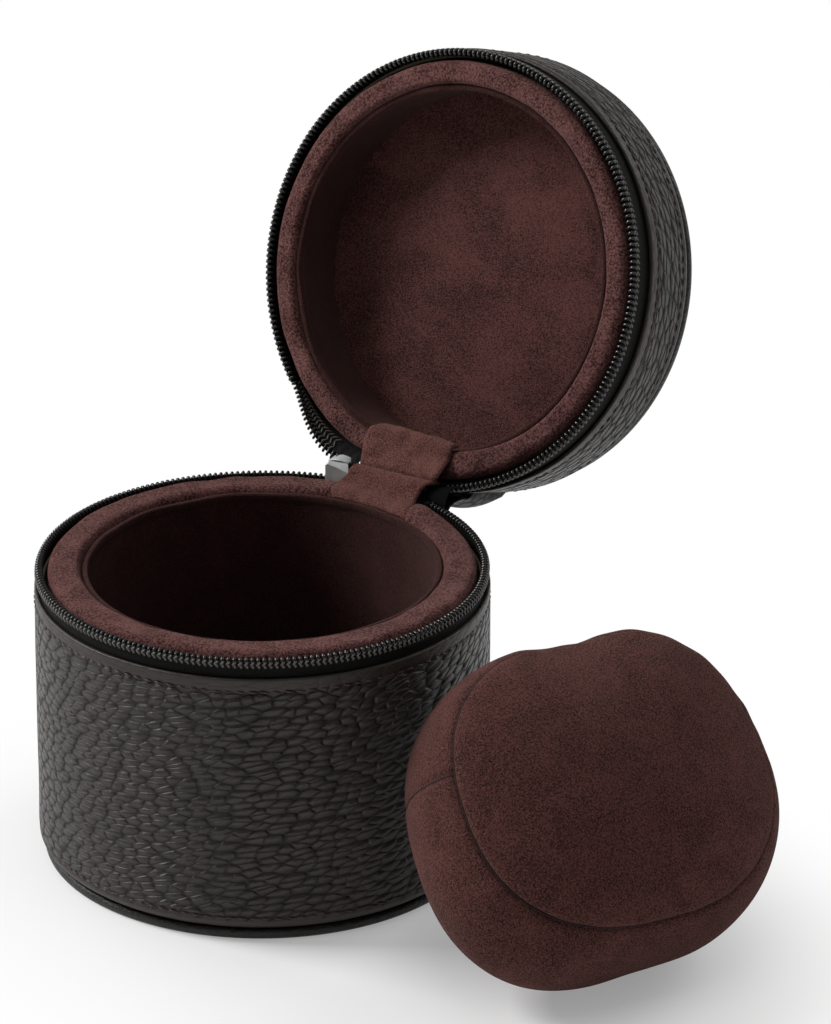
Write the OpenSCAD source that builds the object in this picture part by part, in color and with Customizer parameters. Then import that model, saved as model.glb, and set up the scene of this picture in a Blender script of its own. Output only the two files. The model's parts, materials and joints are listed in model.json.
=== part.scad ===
// Round zipped travel case for one watch, lid standing open, with its cushion taken out.
// Origin: middle of the underside, on the table. +Z up, the lid's hinge is at +Y, -Y is the front.

/* [Shell] */
// Outer radius of the leather wall
case_r = 50.4; // [49:0.2:61]
// Height of the rim plane, where base and lid meet, above the table
base_h = 68.4; // [56:0.2:84]
// Height of the closed lid above the rim plane
lid_h = 26.8; // [22.2:0.2:33]
// Thickness of the leather skin
leather_t = 1; // [0.8:0.1:1.2]
// Thickness of the stiff wall board
board_t = 2.3; // [1.8:0.1:2.8]
// Thickness of the wrapped disc at each end
end_disc_t = 2.4; // [2:0.1:3]
// Radius of the turned corner at each end of the leather
corner_r = 4; // [3:0.25:5]
// How far the base leather stops below the rim plane
base_edge_gap = 5; // [4.4:0.1:6]
// How far the lid leather stops above the rim plane
lid_edge_gap = 7.1; // [4.4:0.1:7.4]

/* [Padding] */
// Inner radius of the base cavity
cavity_r = 38.8; // [34:0.2:40]
// Inner radius of the lid recess
recess_r = 41; // [36:0.2:42]
// Thickness of the foam over the lid's inner panel
roof_foam_t = 3.6; // [2:0.2:6]
// Thickness of the suede lining
liner_t = 1; // [0.8:0.1:1.2]
// Height of the rolled rim pads
rim_pad_h = 10; // [8.4:0.2:10.4]
// Thickness of the pad on the cavity floor
floor_pad_t = 4; // [3:0.2:6]
// Radius of the roll on the rim pads
roll_r = 3; // [2.4:0.1:3]

/* [Zip] */
// Gap between each row of teeth and the rim plane
teeth_gap = 0.4; // [0.35:0.05:0.6]
// Height of a row of teeth
teeth_h = 2.2; // [1.8:0.1:2.2]
// Thickness of the row of teeth, inside to outside
teeth_t = 1.8; // [1.4:0.1:2]
// Thickness of the woven tape
tape_t = 0.4; // [0.3:0.05:0.45]
// Angle from the hinge line at which the rows begin
row_start = 12; // [12:1:13]
// Angle from the hinge line over which the lid's row bends into the slider
row_bend = 28; // [26:1:34]
// Angle from the hinge line to the middle of the parked slider
slider_park = 17; // [17:0.5:19]
// Length of the slider along the rows
slider_l = 8.2; // [7:0.1:8.4]
// Length of the pull below its pin
pull_l = 15; // [12:0.5:16]
// Width of the pull
pull_w = 5; // [4:0.25:6]

/* [Hinge] */
// How far the lid stands open
open_angle = 109.46; // [90:0.02:112]
// Distance of the bending line outside the leather wall
hinge_out = 0.22; // [0.1:0.02:0.4]
// Distance of the bending line below the rim plane
hinge_drop = 0.92; // [0.7:0.02:1.1]
// Width of the suede strap inside the hinge
strap_w = 19.6; // [16:0.2:19.6]
// Width of the leather patch outside the hinge
patch_w = 20; // [16:0.5:21]
// Thickness of strap and patch
patch_t = 1.1; // [0.9:0.1:1.3]

/* [Cushion] */
// Half width of the seam loops, side to side
cushion_a = 36.4; // [32:0.2:38]
// Half width of the seam loops, up the slope
cushion_b = 33.2; // [30:0.2:34]
// Distance between the two seams
cushion_band = 28; // [22:0.5:30]
// Height of each crown over its seam
crown_h = 10.8; // [8:0.2:12]
// How far the band swells past the seams
band_swell = 4.6; // [2:0.2:5]
// Thickness of the suede cover
cover_t = 1.2; // [0.8:0.1:1.6]
// How far the cushion leans back from lying flat
cushion_tilt = 46; // [42:1:50]
// Direction in which the cushion faces, about the case
cushion_turn = -27; // [-35:1:-15]

/* [Hidden] */
$fn = 96;

leather_c = "#2a2421";
suede_c = "#4b2a2b";
card_c = "#8a7d68";
foam_c = "#cfc8b8";
tape_c = "#171514";
teeth_c = "#242221";
metal_c = "#9a9c9d";

slack = 0.1;                                  // between pieces glued to each other
soft_gap = 0.3;                               // between soft pieces that part from each other
step = 0.01;

wall_in_r = case_r - leather_t;               // inside of the leather, over the tape
tape_r = wall_in_r - tape_t - slack;          // inner face of the tape
board_r = tape_r - slack;                     // outside of the wall board
foam_r = board_r - board_t - slack;           // outside of everything soft inside the boards
pad_r = case_r - 3.4;                         // outside of the rim pads, above the boards
lip_drop = 1.4;                               // how far the folded lips of the linings lie below the rim plane
end_disc_r = case_r - 1.2;                    // outside of the wrapped end discs
end_skin_t = 0.6;                             // skin round the end discs
end_board_t = 1.8;                            // stiff disc that closes each end
turn_in_r = case_r - 6.4;                     // where the turned-in leather ends
leather_s = end_disc_t + slack;               // where the leather starts, from the closed end
end_board_s = leather_s + leather_t + slack;
wall_s = end_board_s + end_board_t;           // where the wall board starts
inner_s = wall_s + slack;                     // where the padding starts
board_gap = 4.4;                              // how far the wall boards stop short of the rim
tape_tuck = 7;                                // how far the tape is sewn in under the leather

zip_r = tape_r + tape_t / 2;                  // middle of the tape and of the teeth
stop_arc = 1.5;                               // arc of the stop at the closed end of each row
row_arc = 360 - 2 * row_start - stop_arc;     // arc of a whole row
bend_arc = row_bend - row_start;              // arc of the row that bends into the slider
hinge_y = case_r + hinge_out;
hinge_z = base_h - hinge_drop;
lid_top = base_h + lid_h;
panel_t = 1.6;
panel_s = inner_s + roof_foam_t + slack;      // far face of the lid's inner panel, from its closed end
recess_s = panel_s + panel_t;                 // where the lid's recess starts, from its closed end

plate_gap = 0.2;                              // slider plates to the teeth
plate_in_t = 0.7;
plate_out_t = 0.9;
teeth_in_r = zip_r - teeth_t / 2;
teeth_out_r = zip_r + teeth_t / 2;
plate_in_r = teeth_in_r - plate_gap;          // face of the inner plate towards the teeth
plate_out_r = teeth_out_r + plate_gap;
lip_h = 0.6;                                  // folded lips of the slider plates
lip_gap = 0.1;
slider_w = 2 * (teeth_gap + teeth_h + lip_gap + lip_h);
slot_t = tape_t + 0.6;                        // slot between the lips, for the tape
bevel = 0.5;                                  // bevel along the inner plate's edges
web_t = 0.5;                                  // web between the plates, between the rows
web_l = 2.4;
pin_r = 0.6;
pin_at = plate_out_r + plate_out_t + 2;       // radius at which the pull's pin runs
eye_r = 1.6;
ear_t = 0.8;
ear_gap = 3;
pull_t = 1.2;
slider_at = 90 + slider_park;

// A point that turns with the lid, from closed to standing open
function opened(p) = let (y = p[0] - hinge_y, z = p[1] - hinge_z)
    [hinge_y + y * cos(open_angle) + z * sin(open_angle),
     hinge_z - y * sin(open_angle) + z * cos(open_angle)];

// Points of a round stretch
function arc(c, r, a, b, n = 8) = [for (i = [0:n]) c + r * [cos(a + (b - a) * i / n), sin(a + (b - a) * i / n)]];

module lid_side() {
    translate([0, hinge_y, hinge_z]) rotate([-open_angle, 0, 0]) translate([0, -hinge_y, -hinge_z])
        translate([0, 0, lid_top]) mirror([0, 0, 1]) children();
}

// A ring or disc: inner and outer radius, and its two distances from the closed end
module ring(r1, r2, s1, s2) {
    translate([0, 0, s1]) difference() {
        cylinder(r = r2, h = s2 - s1);
        if (r1 > 0) translate([0, 0, -step]) cylinder(r = r1, h = s2 - s1 + 2 * step);
    }
}

module sector(r1, r2, s1, s2, from, sweep) {
    rotate([0, 0, from]) rotate_extrude(angle = sweep) translate([r1, s1]) square([r2 - r1, s2 - s1]);
}

// Stiff disc inside the wrapped end
module end_board() {
    color(card_c) ring(0, end_disc_r - end_skin_t - slack, end_skin_t + slack / 2, end_disc_t - end_skin_t - slack / 2);
}

// Leather wrapped round the end disc, its edge rolled over and glued on the inner face
module end_leather() {
    r = end_disc_r;
    e = end_disc_t / 2;
    color(leather_c) rotate_extrude() difference() {
        union() {
            square([r - e, end_disc_t]);
            translate([r - e, e]) circle(r = e);
        }
        translate([-step, end_skin_t]) square([r - end_skin_t + step, end_disc_t - 2 * end_skin_t]);
        translate([-step, end_skin_t]) square([turn_in_r, end_disc_t]);
    }
}

module closing_board() {
    color(card_c) ring(0, board_r - board_t + 0.4, end_board_s, wall_s);
}

module wall_board(h) {
    color(card_c) ring(board_r - board_t, board_r, wall_s, h - board_gap);
}

// Leather wall with its turned corner, thinned where it covers the tape
module wall_leather(h, edge) {
    c = [case_r - corner_r, leather_s + corner_r];
    tuck = h - edge - tape_tuck - slack;
    thick_r = board_r + slack / 2;
    color(leather_c) rotate_extrude() polygon(concat(
        [[turn_in_r, leather_s]],
        arc(c, corner_r, -90, 0),
        [[case_r, h - edge - 0.3], [case_r - 0.3, h - edge], [wall_in_r, h - edge], [wall_in_r, tuck],
         [thick_r, tuck - 0.5], [thick_r, c[1]]],
        arc(c, corner_r - leather_t, 0, -90),
        [[turn_in_r, leather_s + leather_t]]));
}

// Suede-covered foam roll along the rim
module rim_pad(h, in_r, pad_h) {
    top = h - soft_gap;
    neck = h - board_gap + slack;
    inner_roll = min(roll_r, pad_r - in_r - roll_r);
    color(suede_c) rotate_extrude() polygon(concat(
        [[in_r, top - pad_h], [foam_r, top - pad_h], [foam_r, neck], [pad_r, neck]],
        arc([pad_r - roll_r, top - roll_r], roll_r, 0, 90, 6),
        arc([in_r + inner_roll, top - inner_roll], inner_roll, 90, 180, 6)));
}

module foam_wall(in_r, s1, s2) {
    color(foam_c) ring(in_r, foam_r, s1, s2);
}

// Suede lining of a round hollow, its top edge folded over into a rounded lip
module liner(in_r, s1, s2) {
    e = liner_t / 2;
    color(suede_c) rotate_extrude() union() {
        translate([in_r, s1]) square([liner_t, s2 - s1 - e]);
        translate([in_r + e, s2 - e]) circle(r = e);
    }
}

module zip_tape(h, edge, from, sweep) {
    color(tape_c) sector(tape_r, tape_r + tape_t, h - edge - tape_tuck, h - teeth_gap - teeth_h - 0.02, from, sweep);
}

module zip_teeth(h, from, sweep) {
    c = 0.3;
    color(teeth_c) rotate([0, 0, from]) rotate_extrude(angle = sweep)
        translate([teeth_in_r, h - teeth_gap - teeth_h])
            polygon([[0, 0], [teeth_t, 0], [teeth_t, teeth_h - c], [teeth_t - c, teeth_h], [c, teeth_h], [0, teeth_h - c]]);
}

// Metal stop clamped on the end of a row, where the slider finishes
module zip_stop(h) {
    w = 0.15;
    color(metal_c) sector(teeth_in_r - w, teeth_out_r + w, h - teeth_gap - teeth_h, h - teeth_gap,
        90 - row_start - stop_arc + 0.1, stop_arc - 0.1);
}

module base_end_board() { end_board(); }
module base_end_leather() { end_leather(); }
module base_floor_board() { closing_board(); }
module base_wall_board() { wall_board(base_h); }
module base_wall_leather() { wall_leather(base_h, base_edge_gap); }
module base_rim_pad() { rim_pad(base_h, cavity_r + liner_t + slack, rim_pad_h); }
module base_foam_wall() {
    foam_wall(cavity_r + liner_t + slack, inner_s, base_h - soft_gap - rim_pad_h - slack);
}
module base_liner() { liner(cavity_r, inner_s, base_h - lip_drop); }

// Suede-covered pad on the cavity floor
module base_floor_pad() {
    r = cavity_r - slack;
    e = floor_pad_t / 2;
    color(suede_c) rotate_extrude() difference() {
        union() {
            translate([0, inner_s]) square([r - e, floor_pad_t]);
            translate([r - e, inner_s + e]) circle(r = e);
        }
        translate([-2 * r, inner_s - r]) square([2 * r, 3 * r]);
    }
}

module base_zip_tape() { zip_tape(base_h, base_edge_gap, 90 + row_start, row_arc + stop_arc); }
module base_zip_teeth() { zip_teeth(base_h, 90 + row_start, row_arc); }
module base_zip_stop() { zip_stop(base_h); }

module lid_end_board() { lid_side() end_board(); }
module lid_end_leather() { lid_side() end_leather(); }
module lid_roof_board() { lid_side() closing_board(); }
module lid_wall_board() { lid_side() wall_board(lid_h); }
module lid_wall_leather() { lid_side() wall_leather(lid_h, lid_edge_gap); }
module lid_rim_pad() { lid_side() rim_pad(lid_h, recess_r + liner_t + slack, rim_pad_h); }
module lid_foam_wall() {
    lid_side() foam_wall(recess_r + liner_t + slack, recess_s, lid_h - soft_gap - rim_pad_h - slack);
}
module lid_roof_foam() { lid_side() foam_wall(0, inner_s, panel_s - slack); }
module lid_liner() { lid_side() liner(recess_r, recess_s, lid_h - lip_drop); }
module lid_inner_panel() { lid_side() color(suede_c) ring(0, foam_r, panel_s, panel_s + panel_t - slack); }
module lid_zip_tape() {
    lid_side() zip_tape(lid_h, lid_edge_gap, 90 + row_bend, row_arc + stop_arc - bend_arc);
}
module lid_zip_teeth() { lid_side() zip_teeth(lid_h, 90 + row_bend, row_arc - bend_arc); }
module lid_zip_stop() { lid_side() zip_stop(lid_h); }

// The last stretch of the lid's tape and teeth, which bends over into the parked slider
module lid_tape_bend() {
    lid_side() zip_tape(lid_h, lid_edge_gap, 90 + row_start, bend_arc - 0.2);
}
module lid_teeth_bend() { lid_side() zip_teeth(lid_h, 90 + row_start, bend_arc - 0.2); }

// Outline of a strip of even thickness along a line of points
function side_of(p, i, d) = let (a = p[max(i - 1, 0)], b = p[min(i + 1, len(p) - 1)], t = (b - a) / norm(b - a))
    p[i] + d * [-t[1], t[0]];
module strip(p, t, w) {
    n = len(p);
    rotate([90, 0, 90]) translate([0, 0, -w / 2]) linear_extrude(w)
        polygon(concat([for (i = [0:n - 1]) side_of(p, i, t / 2)],
                       [for (i = [n - 1:-1:0]) side_of(p, i, -t / 2)]));
}

// Suede strap that bridges the two rim pads inside the hinge, with a crease across its middle
module hinge_strap() {
    lift = 0.15 + patch_t / 2 - soft_gap;
    crease = [hinge_y - 1.4, base_h + 2.4];
    color(suede_c) strip([
        [cavity_r + 2, base_h + lift],
        [pad_r - 0.6, base_h + lift],
        crease,
        opened([pad_r - 0.6, base_h - lift]),
        opened([recess_r + 0.6, base_h - lift])], patch_t, strap_w);
}

// Leather patch outside the hinge, glued to both walls, looped over between them
module hinge_patch() {
    r = case_r + 0.15;
    mid = r + patch_t / 2;
    half = asin(patch_w / 2 / case_r);
    foot = base_h - 22;
    base_end = base_h - base_edge_gap - 1.5;
    lid_start = base_h + lid_edge_gap + 1;
    lid_end = lid_top - leather_s - corner_r - 1;
    loop_w = patch_w - 3;
    color(leather_c) union() {
        sector(r, r + patch_t, foot, base_end, 90 - half, 2 * half);
        translate([0, hinge_y, hinge_z]) rotate([-open_angle, 0, 0]) translate([0, -hinge_y, -hinge_z])
            sector(r, r + patch_t, lid_start, lid_end, 90 - half, 2 * half);
        strip(concat([[mid, base_end - 3], [mid, base_end]],
            [[mid + 0.6, base_h - 4.2], [mid + 2.2, base_h - 2.2], [mid + 4.4, base_h - 2.2]],
            [opened([mid, lid_start]), opened([mid, lid_start + 3])]), patch_t, loop_w);
    }
}

module at_slider() { translate([0, 0, base_h]) rotate([0, 0, slider_at]) children(); }

// A ring sector at the slider, given as lengths along the row either side of its middle
module along(r1, r2, z1, z2, l1, l2) {
    to_deg = 180 / PI / zip_r;
    sector(r1, r2, z1, z2, l1 * to_deg, (l2 - l1) * to_deg);
}

module plate_pair(half_w, bev) {
    l = slider_l / 2;
    to_deg = 180 / PI / zip_r;
    in1 = plate_in_r - plate_in_t;
    rotate([0, 0, -l * to_deg]) rotate_extrude(angle = slider_l * to_deg) {
        polygon([[in1, bev - half_w], [in1 + bev, -half_w], [zip_r - slot_t / 2, -half_w],
                 [zip_r - slot_t / 2, lip_h - half_w], [plate_in_r, lip_h - half_w],
                 [plate_in_r, half_w - lip_h], [zip_r - slot_t / 2, half_w - lip_h],
                 [zip_r - slot_t / 2, half_w], [in1 + bev, half_w], [in1, half_w - bev]]);
        polygon([[plate_out_r + plate_out_t, -half_w], [plate_out_r + plate_out_t, half_w],
                 [zip_r + slot_t / 2, half_w], [zip_r + slot_t / 2, half_w - lip_h],
                 [plate_out_r, half_w - lip_h], [plate_out_r, lip_h - half_w],
                 [zip_r + slot_t / 2, lip_h - half_w], [zip_r + slot_t / 2, -half_w]]);
    }
}

// Slider body: two lipped plates over the rows, joined by a web between the rows at the nose
module zip_slider() {
    color(metal_c) at_slider() union() {
        plate_pair(slider_w / 2, bevel);
        along(plate_in_r - 0.2, plate_out_r + 0.2, -web_t / 2, web_t / 2, slider_l / 2 - web_l, slider_l / 2);
    }
}

// Two ears and a pin on the outer plate, which carry the pull
module zip_bail() {
    ear_at = plate_out_r + plate_out_t + 0.02;
    ear_l = pin_at + pin_r + 0.3 - ear_at;
    color(metal_c) at_slider() union() {
        for (k = [-1, 1])
            translate([ear_at + ear_l / 2, k * (ear_gap + ear_t) / 2, 0]) cube([ear_l, ear_t, 1.8], center = true);
        translate([pin_at, 0, 0]) rotate([90, 0, 0]) cylinder(r = pin_r, h = ear_gap + ear_t, center = true);
    }
}

// Flat metal pull, hanging from the pin outside the wall
module zip_pull() {
    eye_l = ear_gap - 0.3;
    tip = pull_w / 2;
    color(metal_c) at_slider() translate([pin_at, 0, 0]) difference() {
        union() {
            rotate([90, 0, 0]) cylinder(r = eye_r, h = eye_l, center = true);
            rotate([0, 90, 0]) linear_extrude(pull_t, center = true) difference() {
                union() {
                    translate([0, -eye_l / 2]) square([pull_l - tip, eye_l]);
                    translate([pull_l * 0.35, -tip]) square([pull_l * 0.65 - tip, pull_w]);
                    translate([pull_l * 0.35, 0]) circle(r = tip);
                    translate([pull_l - tip, 0]) circle(r = tip);
                }
                translate([pull_l - tip, 0]) circle(r = tip * 0.45);
            }
        }
        rotate([90, 0, 0]) cylinder(r = pin_r + 0.08, h = 2 * pull_w, center = true);
    }
}

// The cushion: loops of points round it, each a rounded oval at a height in the cushion's own frame
ring_n = 36;
oval_e = 2.35;                                // squareness of the ovals
crown_e = 2.2;
crown_steps = [1, 0.93, 0.78, 0.56, 0.3];
band_steps = [-1, -0.55, 0, 0.55, 1];
half_band = cushion_band / 2;
core_gap = 0.2;
cushion_side = 39;                            // how far the cushion stands to the side of the lean's line
cushion_z = half_band * cos(cushion_tilt) + cushion_b * sin(cushion_tilt) + 0.7;
cushion_out = sqrt(pow(case_r, 2) - pow(cushion_side - 0.55 * cushion_a, 2)) + half_band * sin(cushion_tilt)
    + 0.84 * cushion_b * cos(cushion_tilt) + 0.7 * band_swell - 0.6;

function turned(p, a) = [p[0] * cos(a) - p[1] * sin(a), p[0] * sin(a) + p[1] * cos(a), p[2]];
function tilted(p, a) = [p[0] * cos(a) + p[2] * sin(a), p[1], p[2] * cos(a) - p[0] * sin(a)];
function pressed(p, floor_z) = [p[0], p[1], max(p[2], floor_z)];
function placed(p, floor_z) =
    pressed(turned(tilted(p, cushion_tilt) + [cushion_out, cushion_side, cushion_z], cushion_turn), floor_z);
function oval(a, b, h, floor_z) = [for (i = [0:ring_n - 1]) let (t = 360 * i / ring_n)
    placed([b * sign(cos(t)) * pow(abs(cos(t)), 2 / oval_e), a * sign(sin(t)) * pow(abs(sin(t)), 2 / oval_e), h],
        floor_z)];
// Loops of one crown, from its seam inwards, at a depth under the outside; up is 1 or -1
function crown_loops(depth, up) = [for (q = crown_steps)
    oval((cushion_a - depth) * q, (cushion_b - depth) * q,
        up * (half_band + (crown_h - depth) * sqrt(1 - pow(q, crown_e))), depth)];
function crown_top(depth, up) = placed([0, 0, up * (half_band + crown_h - depth)], depth);
function band_loops(depth) = [for (k = band_steps) let (w = band_swell * (1 - k * k) - depth)
    oval(cushion_a + w, cushion_b + w, half_band * k, depth)];

function joined(loops) = [for (l = loops) for (p = l) p];
// Triangles between loops i and i + 1 of a list, facing out when the loops run up the axis
function wall_faces(i, flip) = [for (k = [0:ring_n - 1]) let (
        a = i * ring_n + k, b = i * ring_n + (k + 1) % ring_n, c = a + ring_n, d = b + ring_n)
    each flip ? [[a, b, c], [b, d, c]] : [[a, c, b], [b, c, d]]];
function cap_faces(i, top, flip) = [for (k = [0:ring_n - 1]) let (a = i * ring_n + k, b = i * ring_n + (k + 1) % ring_n)
    flip ? [a, b, top] : [a, top, b]];
function bridge_faces(i, j, flip) = [for (k = [0:ring_n - 1]) let (
        a = i * ring_n + k, b = i * ring_n + (k + 1) % ring_n, c = j * ring_n + k, d = j * ring_n + (k + 1) % ring_n)
    each flip ? [[a, b, c], [b, d, c]] : [[a, c, b], [b, c, d]]];

// Domed suede panel over one face of the cushion
module crown_panel(up) {
    n = len(crown_steps);
    flip = up < 0;
    color(suede_c) polyhedron(
        points = concat(joined(crown_loops(0, up)), joined(crown_loops(cover_t, up)),
            [crown_top(0, up), crown_top(cover_t, up)]),
        faces = concat(
            [for (i = [0:n - 2]) each wall_faces(i, flip)],
            cap_faces(n - 1, 2 * n * ring_n, flip),
            [for (i = [0:n - 2]) each wall_faces(n + i, !flip)],
            cap_faces(2 * n - 1, 2 * n * ring_n + 1, !flip),
            bridge_faces(0, n, !flip)));
}
module cushion_top_panel() { crown_panel(1); }
module cushion_back_panel() { crown_panel(-1); }

// Suede band round the cushion, swollen between the seams
module cushion_band_panel() {
    n = len(band_steps);
    color(suede_c) polyhedron(
        points = concat(joined(band_loops(0)), joined(band_loops(cover_t))),
        faces = concat(
            [for (i = [0:n - 2]) each wall_faces(i, false)],
            [for (i = [0:n - 2]) each wall_faces(n + i, true)],
            bridge_faces(0, n, true),
            bridge_faces(n - 1, 2 * n - 1, false)));
}

// Foam inside the cover
module cushion_core() {
    depth = cover_t + core_gap;
    crown_n = len(crown_steps);
    low = [for (i = [crown_n - 1:-1:1]) crown_loops(depth, -1)[i]];
    high = [for (i = [1:crown_n - 1]) crown_loops(depth, 1)[i]];
    loops = concat(low, band_loops(depth), high);
    n = len(loops);
    color(foam_c) polyhedron(
        points = concat(joined(loops), [crown_top(depth, -1), crown_top(depth, 1)]),
        faces = concat(
            [for (i = [0:n - 2]) each wall_faces(i, false)],
            cap_faces(0, n * ring_n, true),
            cap_faces(n - 1, n * ring_n + 1, false)));
}

base_end_board();
base_end_leather();
base_floor_board();
base_wall_board();
base_wall_leather();
base_foam_wall();
base_rim_pad();
base_liner();
base_floor_pad();
base_zip_tape();
base_zip_teeth();
base_zip_stop();
lid_end_board();
lid_end_leather();
lid_roof_board();
lid_wall_board();
lid_wall_leather();
lid_foam_wall();
lid_roof_foam();
lid_rim_pad();
lid_liner();
lid_inner_panel();
lid_zip_tape();
lid_zip_teeth();
lid_zip_stop();
lid_tape_bend();
lid_teeth_bend();
hinge_strap();
hinge_patch();
zip_slider();
zip_bail();
zip_pull();
cushion_core();
cushion_top_panel();
cushion_band_panel();
cushion_back_panel();
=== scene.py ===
"""Looks of a round zipped watch travel case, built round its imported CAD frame.

The case is modelled shut, as distances from the rim plane where base and lid meet, and the
lid's pieces are then turned open about the soft hinge. All sizes are in millimetres and become
metres in one place, where a mesh is made.
"""

from __future__ import annotations

import json
import logging
import math
from dataclasses import dataclass
from enum import Enum
from typing import Any, Callable, Optional, Sequence

import bmesh
import bpy
import numpy as np
from mathutils import Matrix, Vector

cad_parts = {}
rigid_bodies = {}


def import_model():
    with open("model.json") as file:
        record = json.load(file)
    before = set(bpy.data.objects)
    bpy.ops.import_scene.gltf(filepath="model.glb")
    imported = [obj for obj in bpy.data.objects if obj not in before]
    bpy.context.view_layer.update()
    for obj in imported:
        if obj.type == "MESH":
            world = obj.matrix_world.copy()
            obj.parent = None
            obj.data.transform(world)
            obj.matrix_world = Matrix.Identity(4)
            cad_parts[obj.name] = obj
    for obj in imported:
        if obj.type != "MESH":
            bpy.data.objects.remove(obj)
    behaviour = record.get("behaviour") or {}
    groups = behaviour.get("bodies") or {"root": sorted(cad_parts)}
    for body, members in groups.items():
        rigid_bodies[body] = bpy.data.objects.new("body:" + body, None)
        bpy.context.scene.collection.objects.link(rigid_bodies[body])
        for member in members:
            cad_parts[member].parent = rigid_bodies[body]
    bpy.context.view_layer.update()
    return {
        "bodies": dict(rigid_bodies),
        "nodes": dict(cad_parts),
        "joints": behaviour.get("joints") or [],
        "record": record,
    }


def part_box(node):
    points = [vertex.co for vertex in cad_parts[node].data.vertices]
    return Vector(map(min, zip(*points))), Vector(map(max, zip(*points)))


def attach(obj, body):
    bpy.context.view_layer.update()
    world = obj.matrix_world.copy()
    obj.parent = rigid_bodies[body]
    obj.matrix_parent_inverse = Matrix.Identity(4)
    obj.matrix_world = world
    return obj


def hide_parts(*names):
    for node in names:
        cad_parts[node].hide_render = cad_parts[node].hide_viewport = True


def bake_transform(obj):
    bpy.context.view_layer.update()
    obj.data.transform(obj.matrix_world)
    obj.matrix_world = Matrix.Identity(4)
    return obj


LOG = logging.getLogger("watch_case")
MM = 0.001
Shape = Callable[[np.ndarray, np.ndarray], np.ndarray]


# Shared helpers


def linear(hex_colour: str) -> tuple[float, float, float, float]:
    """Turn an sRGB hex colour into linear RGBA.

    Args:
        hex_colour: A colour such as "#4b2a2b".

    Returns:
        Red, green and blue as linear values, and an alpha of 1.
    """
    channels = [int(hex_colour[i : i + 2], 16) / 255 for i in (1, 3, 5)]
    bent = [c / 12.92 if c <= 0.04045 else ((c + 0.055) / 1.055) ** 2.4 for c in channels]
    return (bent[0], bent[1], bent[2], 1.0)


def add(
    tree: bpy.types.NodeTree, kind: str, inputs: Optional[dict[Any, Any]] = None, **settings: Any
) -> bpy.types.Node:
    """Add one node to a tree.

    Args:
        tree: The tree that gets the node.
        kind: The node's type name.
        inputs: Values, output sockets, or nodes whose first output is meant, by the input's name or number.
        **settings: Properties of the node.

    Returns:
        The new node.
    """
    node = tree.nodes.new(kind)
    for name, value in settings.items():
        setattr(node, name, value)
    for key, value in (inputs or {}).items():
        source = value.outputs[0] if isinstance(value, bpy.types.Node) else value
        if isinstance(source, bpy.types.NodeSocket):
            tree.links.new(source, node.inputs[key])
        else:
            node.inputs[key].default_value = source
    return node


def waves(points: np.ndarray, length: float, seed: int, count: int = 14) -> np.ndarray:
    """Smooth seeded unevenness at a set of points.

    Args:
        points: Points in millimetres, one a row.
        length: Rough distance between two bumps, in millimetres.
        seed: Fixed seed of the directions and phases.
        count: Number of plane waves that are summed.

    Returns:
        One value for each point, mostly between -1 and 1.
    """
    draw = np.random.default_rng(seed)
    directions = draw.normal(size=(count, 3))
    directions /= np.linalg.norm(directions, axis=1)[:, None]
    numbers = 2 * math.pi / (length * draw.uniform(0.7, 1.6, count))
    phases = draw.uniform(0, 2 * math.pi, count)
    total = np.cos(points @ (directions * numbers[:, None]).T + phases).sum(axis=1)
    return total / math.sqrt(count)


def fillet(corners: Sequence[tuple[float, float, float]], steps: int = 6) -> np.ndarray:
    """Round the corners of a closed outline.

    Args:
        corners: Radius, distance from the rim plane and rounding of each corner.
        steps: Number of short edges in each rounding.

    Returns:
        The outline's points, one a row.
    """
    points: list[np.ndarray] = []
    for i, (x, y, rounding) in enumerate(corners):
        here = np.array([x, y])
        if rounding <= 0:
            points.append(here)
            continue
        back = np.array(corners[i - 1][:2]) - here
        ahead = np.array(corners[(i + 1) % len(corners)][:2]) - here
        room = 0.49 * min(np.linalg.norm(back), np.linalg.norm(ahead))
        back, ahead = back / np.linalg.norm(back), ahead / np.linalg.norm(ahead)
        half = 0.5 * math.acos(float(np.clip(back @ ahead, -1, 1)))
        cut = min(rounding / math.tan(half), room)
        radius = cut * math.tan(half)
        centre = here + (back + ahead) / np.linalg.norm(back + ahead) * radius / math.sin(half)
        first = math.atan2(*(here + back * cut - centre)[::-1])
        last = math.atan2(*(here + ahead * cut - centre)[::-1])
        turn = (last - first + math.pi) % (2 * math.pi) - math.pi
        for k in range(steps + 1):
            a = first + turn * k / steps
            points.append(centre + radius * np.array([math.cos(a), math.sin(a)]))
    return np.array(points)


def resample(outline: np.ndarray, step: float) -> np.ndarray:
    """Cut the long edges of a closed outline into short ones.

    Args:
        outline: The outline's points, one a row.
        step: Longest edge that is left whole, in millimetres.

    Returns:
        The outline with more points on it.
    """
    points = []
    for here, ahead in zip(outline, np.roll(outline, -1, axis=0)):
        count = max(1, math.ceil(float(np.linalg.norm(ahead - here)) / step))
        points += [here + (ahead - here) * k / count for k in range(count)]
    return np.array(points)


def grid_faces(rows: int, columns: int, wrap_rows: bool, wrap_columns: bool) -> list[tuple[int, ...]]:
    """Quads over a grid of points that is stored row by row.

    Args:
        rows: Number of rows.
        columns: Number of points in a row.
        wrap_rows: Whether the last row joins the first.
        wrap_columns: Whether each row is a closed loop.

    Returns:
        The quads, as numbers of points.
    """
    faces = []
    for i in range(rows if wrap_rows else rows - 1):
        for j in range(columns if wrap_columns else columns - 1):
            a, b = i * columns + j, i * columns + (j + 1) % columns
            c, d = ((i + 1) % rows) * columns + j, ((i + 1) % rows) * columns + (j + 1) % columns
            faces.append((a, b, d, c))
    return faces


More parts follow.
